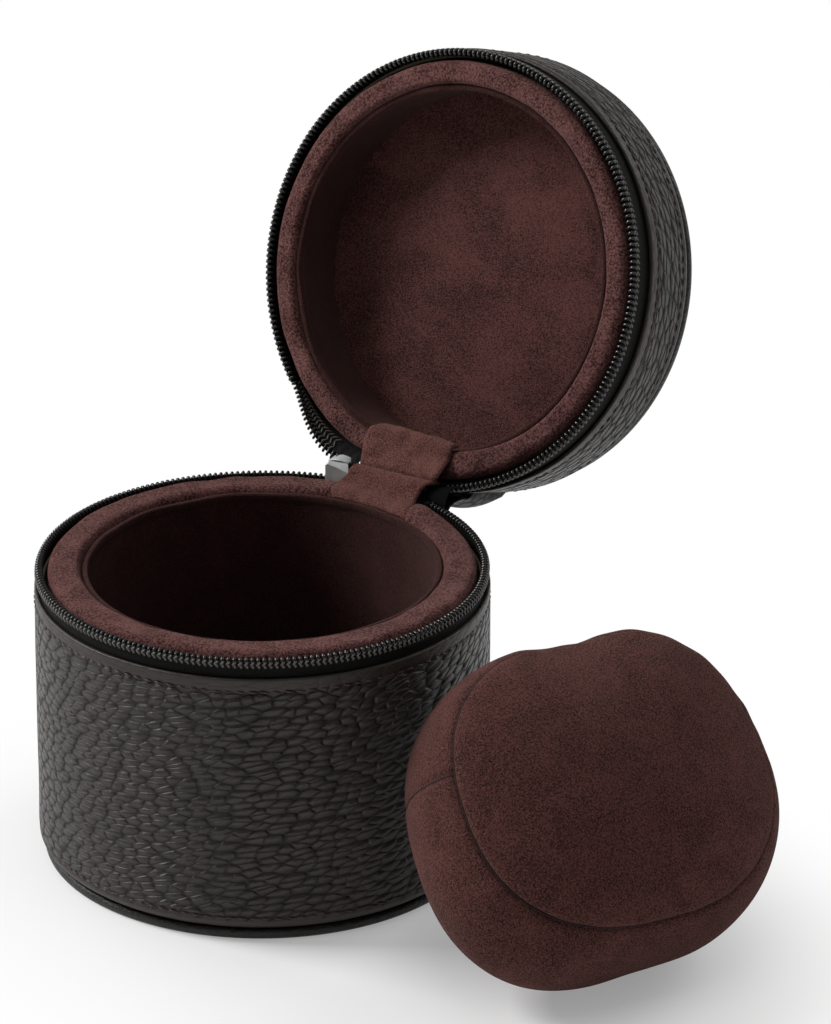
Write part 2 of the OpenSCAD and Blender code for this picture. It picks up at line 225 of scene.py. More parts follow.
def make_piece(
    name: str,
    points: np.ndarray,
    faces: Sequence[Sequence[int]],
    finish: "Finish",
    sharp: float = 60.0,
    uv: Optional[np.ndarray] = None,
) -> bpy.types.Object:
    """Make a piece whose place is in its mesh.

    Args:
        name: The piece's name.
        points: Points in millimetres in the case's frame, one a row.
        faces: The faces, as numbers of points.
        finish: What the piece is finished with.
        sharp: Angle in degrees over which an edge is shaded sharp.
        uv: Pattern coordinates in millimetres for each point, or nothing.

    Returns:
        The linked object.
    """
    mesh = bpy.data.meshes.new(name)
    mesh.from_pydata((np.asarray(points) * MM).tolist(), [], [tuple(f) for f in faces])
    if uv is not None:
        layer = mesh.uv_layers.new(name="UVMap")
        corners = np.zeros(len(mesh.loops), dtype=np.int32)
        mesh.loops.foreach_get("vertex_index", corners)
        layer.data.foreach_set("uv", (uv[corners] * MM).astype(np.float32).ravel())
    work = bmesh.new()
    work.from_mesh(mesh)
    bmesh.ops.remove_doubles(work, verts=work.verts, dist=1e-6)
    bmesh.ops.recalc_face_normals(work, faces=work.faces)
    work.to_mesh(mesh)
    work.free()
    mesh.shade_smooth()
    mesh.set_sharp_from_angle(angle=math.radians(sharp))
    mesh.materials.append(finish.material())
    piece = bpy.data.objects.new(name, mesh)
    bpy.context.scene.collection.objects.link(piece)
    return piece


def smooth_rows(rows: np.ndarray, count: int) -> np.ndarray:
    """Pass smooth lines through rows of points.

    Args:
        rows: Control rows, each with the same number of points.
        count: Number of rows wanted.

    Returns:
        Rows along Catmull-Rom curves through the control rows.
    """
    padded = np.concatenate([[2 * rows[0] - rows[1]], rows, [2 * rows[-1] - rows[-2]]])
    spots = np.linspace(0, len(rows) - 1 - 1e-9, count)
    result = []
    for spot in spots:
        i, t = int(spot), spot - int(spot)
        a, b, c, d = padded[i : i + 4]
        result.append(
            0.5 * (2 * b + (c - a) * t + (2 * a - 5 * b + 4 * c - d) * t**2 + (3 * b - a - 3 * c + d) * t**3)
        )
    return np.array(result)


def slab(
    name: str,
    grid: np.ndarray,
    thickness: float,
    finish: "Finish",
    soft_edge: float = 0.5,
    sharp: float = 60.0,
) -> bpy.types.Object:
    """Make a closed sheet of even thickness with rounded edges from a grid of points.

    Args:
        name: The piece's name.
        grid: Rows of points in millimetres along its middle.
        thickness: Thickness away from the edges.
        finish: What it is finished with.
        soft_edge: Width over which the edges round off.
        sharp: Angle in degrees over which an edge is shaded sharp.

    Returns:
        The piece.
    """
    along, across = np.gradient(grid, axis=0), np.gradient(grid, axis=1)
    normal = np.cross(along, across)
    normal /= np.linalg.norm(normal, axis=2)[:, :, None]
    rows, columns = grid.shape[:2]
    run_down = np.concatenate(
        [np.zeros((1, columns)), np.cumsum(np.linalg.norm(np.diff(grid, axis=0), axis=2), axis=0)]
    )
    run_across = np.concatenate(
        [np.zeros((rows, 1)), np.cumsum(np.linalg.norm(np.diff(grid, axis=1), axis=2), axis=1)], axis=1
    )
    edge = np.minimum.reduce(
        [run_down, run_down[-1:] - run_down, run_across, run_across[:, -1:] - run_across]
    )
    near = np.clip(edge / soft_edge, 0, 1)
    half = thickness / 2 * np.sqrt(np.clip(1 - (1 - near) ** 2, 0.03, 1))
    top = (grid + normal * half[:, :, None]).reshape(-1, 3)
    under = (grid - normal * half[:, :, None]).reshape(-1, 3)
    faces = list(grid_faces(rows, columns, False, False))
    size = rows * columns
    faces += [tuple(size + k for k in reversed(face)) for face in faces]
    rim = list(range(columns))
    rim += [i * columns + columns - 1 for i in range(1, rows)]
    rim += [(rows - 1) * columns + j for j in range(columns - 2, -1, -1)]
    rim += [i * columns for i in range(rows - 2, 0, -1)]
    faces += [(a, b, size + b, size + a) for a, b in zip(rim, rim[1:] + rim[:1])]
    uv = np.stack([run_across, run_down], axis=2).reshape(-1, 2)
    return make_piece(name, np.vstack([top, under]), faces, finish, sharp, np.vstack([uv, uv]))


def settle(piece: bpy.types.Object, body: str, slot: str, *nodes: str) -> bpy.types.Object:
    """Hang a piece on its body and say which nodes it stands for."""
    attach(piece, body)
    return note(piece, slot, *nodes)


def note(piece: bpy.types.Object, slot: str, *nodes: str) -> bpy.types.Object:
    """Hide the nodes that a piece stands for, and report the piece with them."""
    if nodes:
        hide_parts(*nodes)
    LOG.info("%s: %d faces, stands for %s", piece.name, len(piece.data.polygons), list(nodes))
    return piece


# Finishes


@dataclass(frozen=True)
class Finish:
    """A procedural finish.

    Patterns are laid in the shut case's own directions, so the lid's are turned with it.
    """

    name: str
    turn: float = 0.0
    pivot: tuple[float, float, float] = (0.0, 0.0, 0.0)

    def material(self) -> bpy.types.Material:
        """Build the material, or give back the one that was built before."""
        known = bpy.data.materials.get(self.name)
        if known:
            return known
        made = bpy.data.materials.new(self.name)
        made.use_nodes = True
        tree = made.node_tree
        where = add(tree, "ShaderNodeTexCoord")
        place = add(
            tree,
            "ShaderNodeMapping",
            {"Vector": where.outputs["Object"], "Location": self.pivot, "Rotation": (self.turn, 0.0, 0.0)},
            vector_type="TEXTURE",
        )
        self.paint(tree, tree.nodes["Principled BSDF"], place.outputs["Vector"])
        return made

    def paint(self, tree: bpy.types.NodeTree, shader: bpy.types.Node, place: bpy.types.NodeSocket) -> None:
        """Add the finish's own nodes.

        Args:
            tree: The material's tree.
            shader: Its Principled BSDF.
            place: Point on the piece, from the hinge line, in metres.
        """
        raise NotImplementedError


def redress(item: bpy.types.Object, finish: Finish) -> None:
    """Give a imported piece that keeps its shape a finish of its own."""
    item.data.materials.clear()
    item.data.materials.append(finish.material())


@dataclass(frozen=True)
class PebbledLeather(Finish):
    """Calf leather, tumbled until its grain stands up in small pebbles, then waxed.

    The pebbles are about as tall as wide, and they flatten out beyond the stitched lines,
    where the skin was skived and pressed. Their creases are drawn darker than their tops,
    as painted shade. Tops catch a soft wax shine that the creases lack.
    """

    pebble_w: float = 1.9
    pebble_h: float = 1.8
    relief: float = 0.95
    middle: float = 0.0
    half: float = 1.0
    wrapped_r: float = 0.0
    tops: str = "#2c2521"
    # Colour in the creases: painted shade.
    creases: str = "#0e0b0a"
    specular: float = 0.4

    def cells(self, tree: bpy.types.NodeTree, place: bpy.types.NodeSocket) -> bpy.types.NodeSocket:
        """Coordinates in which each pebble is about one unit wide and one tall.

        Args:
            tree: The material's nodes.
            place: Place in the piece, in metres.

        Returns:
            The coordinates; round the case and up its wall if the skin is wrapped round it.
        """
        per_w, per_h = 1 / (self.pebble_w * MM), 1 / (self.pebble_h * MM)
        if not self.wrapped_r:
            return add(
                tree, "ShaderNodeVectorMath", {0: place, 1: (per_w, per_w, per_h)}, operation="MULTIPLY"
            ).outputs[0]
        apart = add(tree, "ShaderNodeSeparateXYZ", {0: place})
        front = add(tree, "ShaderNodeMath", {0: apart.outputs["Y"], 1: -1.0}, operation="MULTIPLY")
        angle = add(tree, "ShaderNodeMath", {0: apart.outputs["X"], 1: front}, operation="ARCTAN2")
        up = add(tree, "ShaderNodeMath", {0: apart.outputs["Z"], 1: per_h}, operation="MULTIPLY")
        round_it = add(
            tree, "ShaderNodeMath", {0: angle, 1: self.wrapped_r / self.pebble_w}, operation="MULTIPLY"
        )
        leaning = add(tree, "ShaderNodeMath", {0: up, 1: -0.35, 2: round_it}, operation="MULTIPLY_ADD")
        return add(tree, "ShaderNodeCombineXYZ", {0: leaning, 1: up}).outputs[0]

    def paint(self, tree: bpy.types.NodeTree, shader: bpy.types.Node, place: bpy.types.NodeSocket) -> None:
        """Add the leather's nodes; see Finish.paint."""
        warp = add(tree, "ShaderNodeTexNoise", {"Vector": place, "Scale": 1 / (11.0 * MM), "Detail": 0.0})
        centred = add(
            tree, "ShaderNodeVectorMath", {0: warp.outputs[1], 1: (0.5, 0.5, 0.5)}, operation="SUBTRACT"
        )
        pushed = add(
            tree,
            "ShaderNodeVectorMath",
            {0: centred, 1: (0.3, 0.3, 0.0), 2: self.cells(tree, place)},
            operation="MULTIPLY_ADD",
        )
        flat = "2D" if self.wrapped_r else "3D"
        edges, middles = (
            add(
                tree,
                "ShaderNodeTexVoronoi",
                {"Vector": pushed, "Scale": 1.0, "Randomness": 0.8},
                feature=feature,
                voronoi_dimensions=flat,
            )
            for feature in ("DISTANCE_TO_EDGE", "F1")
        )
        small = add(
            tree,
            "ShaderNodeTexVoronoi",
            {"Vector": pushed, "Scale": 2.4, "Randomness": 1.0},
            feature="F1",
            voronoi_dimensions=flat,
        )
        crease = add(
            tree,
            "ShaderNodeMapRange",
            {"Value": edges.outputs["Distance"], "From Min": 0.0, "From Max": 0.17, "To Max": 0.3},
            interpolation_type="SMOOTHSTEP",
        )
        square = add(tree, "ShaderNodeMath", {0: middles.outputs["Distance"], 1: 2.0}, operation="POWER")
        pillow = add(
            tree,
            "ShaderNodeMapRange",
            {"Value": square, "From Min": 0.0, "From Max": 0.5, "To Min": 0.75, "To Max": 0.0},
        )
        dimple = add(
            tree,
            "ShaderNodeMapRange",
            {
                "Value": small.outputs["Distance"],
                "From Min": 0.0,
                "From Max": 0.7,
                "To Min": 0.1,
                "To Max": 0.0,
            },
        )
        raised = add(tree, "ShaderNodeMath", {0: crease, 1: pillow}, operation="ADD")
        pebbles = add(tree, "ShaderNodeMath", {0: raised, 1: dimple}, operation="ADD")
        apart = add(tree, "ShaderNodeSeparateXYZ", {0: place})
        from_middle = add(
            tree, "ShaderNodeMath", {0: apart.outputs["Z"], 1: self.middle * MM}, operation="SUBTRACT"
        )
        away = add(tree, "ShaderNodeMath", {0: from_middle}, operation="ABSOLUTE")
        pressed = add(
            tree,
            "ShaderNodeMapRange",
            {
                "Value": away,
                "From Min": (self.half - 0.9) * MM,
                "From Max": (self.half + 0.9) * MM,
                "To Min": 1.0,
                "To Max": 0.12,
            },
            interpolation_type="SMOOTHSTEP",
        )
        relief = add(tree, "ShaderNodeMix", {0: pressed, 2: 0.75, 3: pebbles}, data_type="FLOAT")
        pores = add(
            tree,
            "ShaderNodeTexNoise",
            {"Vector": place, "Scale": 1 / (0.34 * MM), "Detail": 3.0, "Roughness": 0.6},
        )
        height = add(tree, "ShaderNodeMath", {0: pores, 1: 0.12, 2: relief}, operation="MULTIPLY_ADD")
        bump = add(tree, "ShaderNodeBump", {"Height": height, "Distance": self.relief * MM, "Strength": 1.0})
        drift = add(tree, "ShaderNodeTexNoise", {"Vector": place, "Scale": 1 / (14 * MM), "Detail": 2.0})
        shade = add(
            tree,
            "ShaderNodeMapRange",
            {"Value": drift, "From Min": 0.3, "From Max": 0.7, "To Min": 0.85, "To Max": 1.2},
        )
        # Painted shade: the colour darkens from the pebble tops down into the creases.
        painted_crease_shade = add(tree, "ShaderNodeMapRange", {"Value": relief, "From Min": 0.1, "From Max": 0.7})
        colour = add(
            tree,
            "ShaderNodeMix",
            {0: painted_crease_shade, 6: linear(self.creases), 7: linear(self.tops)},
            data_type="RGBA",
        )
        crease_shaded_mottle = add(tree, "ShaderNodeVectorMath", {0: colour.outputs[2], "Scale": shade}, operation="SCALE")
        rough = add(
            tree,
            "ShaderNodeMapRange",
            {"Value": height, "From Min": 0.2, "From Max": 1.0, "To Min": 0.62, "To Max": 0.38},
        )
        tree.links.new(crease_shaded_mottle.outputs[0], shader.inputs["Base Color"])
        tree.links.new(rough.outputs[0], shader.inputs["Roughness"])
        tree.links.new(bump.outputs[0], shader.inputs["Normal"])
        shader.inputs["Specular IOR Level"].default_value = self.specular


@dataclass(frozen=True)
class Suede(Finish):
    """Microfibre suede, brushed to a short nap.

    The nap gives a fine light and dark speckle, soft cloudy patches where a hand has stroked
    it, and a pale bloom where the surface turns away.
    """

    light: str = "#6a4440"
    dark: str = "#3a2220"
    cloud: float = 7.0
    stroke: tuple[float, float, float] = (1.0, 1.0, 1.0)
    contrast: float = 0.5
    nap: float = 0.3

    def paint(self, tree: bpy.types.NodeTree, shader: bpy.types.Node, place: bpy.types.NodeSocket) -> None:
        """Add the suede's nodes; see Finish.paint."""
        combed = add(tree, "ShaderNodeVectorMath", {0: place, 1: self.stroke}, operation="MULTIPLY")
        # The real nap is finer than a hair; the speckle is drawn as coarse as a render can show.
        nap = add(
            tree,
            "ShaderNodeTexNoise",
            {"Vector": combed, "Scale": 1 / (self.nap * MM), "Detail": 2.0, "Roughness": 0.7},
        )
        clouds = add(
            tree,
            "ShaderNodeTexNoise",
            {"Vector": combed, "Scale": 1 / (self.cloud * MM), "Detail": 3.0, "Distortion": 0.6},
        )
        speckle = add(
            tree,
            "ShaderNodeMapRange",
            {"Value": nap, "From Min": 0.36, "From Max": 0.64, "To Min": -0.55, "To Max": 0.55},
        )
        patch = add(
            tree,
            "ShaderNodeMapRange",
            {
                "Value": clouds,
                "From Min": 0.3,
                "From Max": 0.7,
                "To Min": 0.5 - self.contrast / 2,
                "To Max": 0.5 + self.contrast / 2,
            },
        )
        both = add(tree, "ShaderNodeMath", {0: speckle, 1: patch}, operation="ADD", use_clamp=True)
        colour = add(
            tree, "ShaderNodeMix", {0: both, 6: linear(self.dark), 7: linear(self.light)}, data_type="RGBA"
        )
        bump = add(tree, "ShaderNodeBump", {"Height": nap, "Distance": 0.5 * MM, "Strength": 1.0})
        tree.links.new(colour.outputs[2], shader.inputs["Base Color"])
        tree.links.new(bump.outputs[0], shader.inputs["Normal"])
        shader.inputs["Roughness"].default_value = 0.95
        shader.inputs["Specular IOR Level"].default_value = 0.08
        shader.inputs["Sheen Weight"].default_value = 0.22
        shader.inputs["Sheen Roughness"].default_value = 0.45
        shader.inputs["Sheen Tint"].default_value = linear("#c9a49c")


@dataclass(frozen=True)
class WovenTape(Finish):
    """Polyester zip tape in a tight herringbone, black, with the dull shine of its yarns."""

    rib: float = 0.55

    def paint(self, tree: bpy.types.NodeTree, shader: bpy.types.Node, place: bpy.types.NodeSocket) -> None:
        """Add the tape's nodes; the weave follows the piece's own pattern coordinates."""
        uv = add(tree, "ShaderNodeUVMap", uv_map="UVMap")
        apart = add(tree, "ShaderNodeSeparateXYZ", {0: uv})
        # Drawn two to three times as coarse as the real yarns, so that the weave shows.
        zigzag = add(tree, "ShaderNodeMath", {0: apart.outputs["Y"], 1: 1.1 * MM}, operation="PINGPONG")
        slanted = add(tree, "ShaderNodeMath", {0: apart.outputs["X"], 1: zigzag}, operation="ADD")
        phase = add(
            tree, "ShaderNodeMath", {0: slanted, 1: 2 * math.pi / (self.rib * MM)}, operation="MULTIPLY"
        )
        rib = add(tree, "ShaderNodeMath", {0: phase}, operation="SINE")
        fuzz = add(tree, "ShaderNodeTexNoise", {"Vector": place, "Scale": 1 / (0.3 * MM), "Detail": 2.0})
        yarn = add(tree, "ShaderNodeMath", {0: rib, 1: 0.3, 2: fuzz}, operation="MULTIPLY_ADD")
        colour = add(
            tree, "ShaderNodeMix", {0: yarn, 6: linear("#050505"), 7: linear("#1d1b1a")}, data_type="RGBA"
        )
        bump = add(tree, "ShaderNodeBump", {"Height": yarn, "Distance": 0.2 * MM, "Strength": 0.8})
        tree.links.new(colour.outputs[2], shader.inputs["Base Color"])
        tree.links.new(bump.outputs[0], shader.inputs["Normal"])
        shader.inputs["Roughness"].default_value = 0.62
        shader.inputs["Specular IOR Level"].default_value = 0.12


@dataclass(frozen=True)
class Speckled(Finish):
    """A plain material with a fine speckle: moulded nylon, thread, cast metal, board or foam."""

    light: str = "#808080"
    dark: str = "#606060"
    grain: float = 0.5
    rough: tuple[float, float] = (0.4, 0.6)
    metallic: float = 0.0
    relief: float = 0.05
    specular: float = 0.5

    def paint(self, tree: bpy.types.NodeTree, shader: bpy.types.Node, place: bpy.types.NodeSocket) -> None:
        """Add the nodes of speckle, shine and relief; see Finish.paint."""
        grain = add(
            tree,
            "ShaderNodeTexNoise",
            {"Vector": place, "Scale": 1 / (self.grain * MM), "Detail": 3.0, "Roughness": 0.6},
        )
        spread = add(tree, "ShaderNodeMapRange", {"Value": grain, "From Min": 0.3, "From Max": 0.7})
        colour = add(
            tree, "ShaderNodeMix", {0: spread, 6: linear(self.dark), 7: linear(self.light)}, data_type="RGBA"
        )
        rough = add(
            tree, "ShaderNodeMapRange", {"Value": spread, "To Min": self.rough[0], "To Max": self.rough[1]}
        )
        bump = add(tree, "ShaderNodeBump", {"Height": grain, "Distance": self.relief * MM, "Strength": 0.6})
        tree.links.new(colour.outputs[2], shader.inputs["Base Color"])
        tree.links.new(rough.outputs[0], shader.inputs["Roughness"])
        tree.links.new(bump.outputs[0], shader.inputs["Normal"])
        shader.inputs["Metallic"].default_value = self.metallic
        shader.inputs["Specular IOR Level"].default_value = self.specular


RIM_SUEDE = Suede("brushed_suede_rim", light="#75504d", dark="#331d1b", nap=0.5)
# Painted shade: the hollow's lining and floor cushion are drawn darker than the rim's suede.
SHADED_LINING_SUEDE = Suede("brushed_suede_lining_painted_shade", light="#4a2c29", dark="#211312", contrast=0.35)
PANEL_SUEDE = Suede(
    "brushed_suede_panel", light="#6e4743", dark="#2b1817", cloud=12.0, stroke=(0.75, 1.0, 1.0), contrast=0.5
)
CUSHION_SUEDE = Suede(
    "brushed_suede_cushion", light="#6d4641", dark="#2c1a17", cloud=9.0, contrast=0.3, nap=0.36
)
STRAP_SUEDE = Suede("brushed_suede_strap", light="#80564f", dark="#3f2522", cloud=5.0, contrast=0.4)
PATCH_LEATHER = PebbledLeather(
    "waxed_leather_patch",
    pebble_w=2.2,
    pebble_h=2.2,
    relief=0.15,
    half=1000.0,
    tops="#100e0e",
    creases="#0b0a0a",
    specular=0.15,
)
FOOT_LEATHER = PebbledLeather("skived_leather_foot", pebble_w=1.5, pebble_h=1.2, half=0.0, tops="#1d1a18")
TAPE = WovenTape("woven_polyester_tape")
# Painted shade: the tapes' sewn end is drawn darker than the zip tape, for the shade in the corner under the
# hinge.
SHADED_TAIL_TAPE = Speckled(
    "felted_tape_end_painted_shade",
    light="#0e0d0d",
    dark="#050505",
    grain=0.4,
    rough=(0.85, 0.95),
    relief=0.1,
    specular=0.05,
)
NYLON = Speckled(
    "moulded_nylon_coil", light="#262423", dark="#171615", grain=0.6, rough=(0.16, 0.3), relief=0.03
)
ZIP_THREAD = Speckled(
    "twisted_polyester_thread", light="#7d7974", dark="#3c3936", grain=0.25, rough=(0.35, 0.55), relief=0.06
)
SEAM_THREAD = Speckled(
    "waxed_thread", light="#4a2e29", dark="#1e1311", grain=0.2, rough=(0.4, 0.6), relief=0.06
)
# Painted shadow: a thin dark rod laid in a seam stands for the shade in its groove.
SEAM_SHADOW_ROD = Speckled(
    "seam_painted_shadow", light="#2a1815", dark="#160c0a", grain=0.3, rough=(0.85, 0.95), relief=0.08
)
SLIDER_METAL = Speckled(
    "satin_plated_zinc",
    light="#bdc0bf",
    dark="#aeb1b0",
    grain=1.4,
    rough=(0.42, 0.52),
    metallic=0.2,
    relief=0.01,
)
STOP_METAL = Speckled(
    "black_plated_brass",
    light="#2b2a2a",
    dark="#1c1b1b",
    grain=0.8,
    rough=(0.4, 0.5),
    metallic=0.5,
    relief=0.01,
)
BOARD = Speckled("pressed_board", light="#8d7f69", dark="#6d614f", grain=0.9, rough=(0.8, 0.95), relief=0.1)
FOAM = Speckled("open_cell_foam", light="#cbc3b2", dark="#8f8877", grain=0.5, rough=(0.9, 1.0), relief=0.25)


# The frame, and the two halves of the case


@dataclass(frozen=True)
class Ring:
    """A turned piece: inner and outer radius, and nearest and farthest distance from the rim plane."""

    inner: float
    outer: float
    near: float
    far: float


class Side(Enum):
    """The two halves of the case."""

    BASE = "base"
    LID = "lid"


@dataclass(frozen=True)
class CaseFrame:
    """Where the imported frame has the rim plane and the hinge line, in millimetres."""

    nodes: dict[str, bpy.types.Object]
    rim: float
    hinge_y: float
    hinge_z: float
    open_deg: float

    @classmethod
    def read(cls, frame: dict[str, Any]) -> "CaseFrame":
        """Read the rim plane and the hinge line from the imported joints.


        Returns:
            The case's frame.
        """
        joints = {j["name"]: j for j in frame["joints"]}
        hinge = joints["lid_hinge"]
        return cls(
            nodes=frame["nodes"],
            rim=joints["zip_slide"]["pos_m"][2] / MM,
            hinge_y=hinge["pos_m"][1] / MM,
            hinge_z=hinge["pos_m"][2] / MM,
            open_deg=max(hinge["range_deg"]),
        )

    def turned(self, points: np.ndarray, degrees: float | np.ndarray) -> np.ndarray:
        """Turn points about the hinge line; a negative angle opens the lid."""
        a = np.radians(degrees)
        y, z = points[..., 1] - self.hinge_y, points[..., 2] - self.hinge_z
        turned_y = self.hinge_y + y * np.cos(a) - z * np.sin(a)
        turned_z = self.hinge_z + y * np.sin(a) + z * np.cos(a)
        return np.stack([points[..., 0], turned_y, turned_z], axis=-1)

    def swung(self, radius: Any, from_hinge: Any, away: Any, share: Any) -> np.ndarray:
        """Points of a stretch that turns partly with the lid.

        Args:
            radius: Radius, in millimetres.
            from_hinge: Angle round the rim from the hinge, in degrees.
            away: Height over the rim plane with the lid shut.
            share: How far the point has turned with the lid, from 0 to 1.

        Returns:
            The points at rest, with the lid open.
        """
        a = np.radians(90 + np.asarray(from_hinge, dtype=float))
        radius, a, away, share = np.broadcast_arrays(radius, a, away, share)
        shut = np.stack([radius * np.cos(a), radius * np.sin(a), self.rim + away], axis=-1)
        return self.turned(shut, -self.open_deg * share)

    def place(self, side: Side, points: np.ndarray) -> np.ndarray:
        """Bring points from the shut case's form to where they are at rest.

        Args:
            side: The half of the case that they are on.
            points: X, Y and the distance from the rim plane, one point a row.

        Returns:
            The points in the case's frame.
        """
        if side is Side.BASE:
            return np.column_stack([points[:, 0], points[:, 1], self.rim - points[:, 2]])
        shut = np.column_stack([points[:, 0], points[:, 1], self.rim + points[:, 2]])
        return self.turned(shut, -self.open_deg)

    def ring(self, side: Side, node: str) -> Ring:
        """Measure a turned node.

        Args:
            side: The half of the case that it is on.
            node: The node's name.

        Returns:
            Its radii and its distances from the rim plane.
        """
        points = np.array([v.co for v in self.nodes[node].data.vertices]) / MM
        if side is Side.LID:
            points = self.turned(points, self.open_deg)
        radii = np.hypot(points[:, 0], points[:, 1])
        away = (points[:, 2] - self.rim) * (1 if side is Side.LID else -1)
        return Ring(float(radii.min()), float(radii.max()), float(away.min()), float(away.max()))

    def leather(self, side: Side, middle: float, half: float) -> PebbledLeather:
        """Pebbled leather for one wall, flattened beyond its stitched lines.

        Args:
            side: The half of the case.
            middle: Distance from the rim plane to halfway between the lines.
            half: Half the distance between the lines.

        Returns:
            The finish.
        """
        turn = 0.0 if side is Side.BASE else -math.radians(self.open_deg)
        height = self.rim - self.hinge_z + (middle if side is Side.LID else -middle)
        pivot = (0.0, self.hinge_y * MM, self.hinge_z * MM)
        return PebbledLeather(
            f"pebbled_leather_{side.value}", turn, pivot, middle=height, half=half, wrapped_r=50.4
        )


def round_axis(angles: np.ndarray, radii: np.ndarray, away: np.ndarray) -> np.ndarray:
    """Stand outlines round the axis.

    Args:
        angles: The angle of each outline, in radians.
        radii: Radii, one outline a row.
        away: Distances from the rim plane, one outline a row.

    Returns:
        One point a row.
    """
    east, north = radii * np.cos(angles)[:, None], radii * np.sin(angles)[:, None]
    return np.stack([east, north, away], axis=2).reshape(-1, 3)


def revolve(
    name: str,
    case: CaseFrame,
    side: Side,
    outline: np.ndarray,
    finish: Finish,
    segments: int = 288,
    arc: tuple[float, float] = (0.0, 360.0),
    shape: Optional[Shape] = None,
    sharp: float = 60.0,
) -> bpy.types.Object:
    """Turn a closed outline round the case's axis.

    Args:
        name: The piece's name.
        case: The case's frame.
        side: The half of the case that the piece is on.
        outline: Radius and distance from the rim plane, one point a row.
        finish: What the piece is finished with.
        segments: Number of steps round the arc.
        arc: First angle and sweep, in degrees.
        shape: Moves the outlines, given the angles and one outline for each.
        sharp: Angle in degrees over which an edge is shaded sharp.

    Returns:
        The piece.
    """
    whole = arc[1] >= 360
    angles = np.radians(arc[0] + arc[1] * np.arange(segments + (0 if whole else 1)) / segments)
    outlines = np.repeat(outline[None, :, :], len(angles), axis=0)
    if shape is not None:
        outlines = shape(angles, outlines)
    flat = round_axis(angles, outlines[:, :, 0], outlines[:, :, 1])
    along = np.concatenate([[0], np.cumsum(np.linalg.norm(np.diff(outline, axis=0), axis=1))])
    uv = np.stack(
        [
            np.repeat(angles[:, None] * outline[:, 0].max(), len(outline), axis=1),
            np.repeat(along[None, :], len(angles), axis=0),
        ],
        axis=2,
    ).reshape(-1, 2)
    faces: list[Sequence[int]] = list(grid_faces(len(angles), len(outline), whole, True))
    if not whole:
        faces.append(range(len(outline)))
        faces.append(range((len(angles) - 1) * len(outline), len(angles) * len(outline)))
    return make_piece(name, case.place(side, flat), faces, finish, sharp, uv)


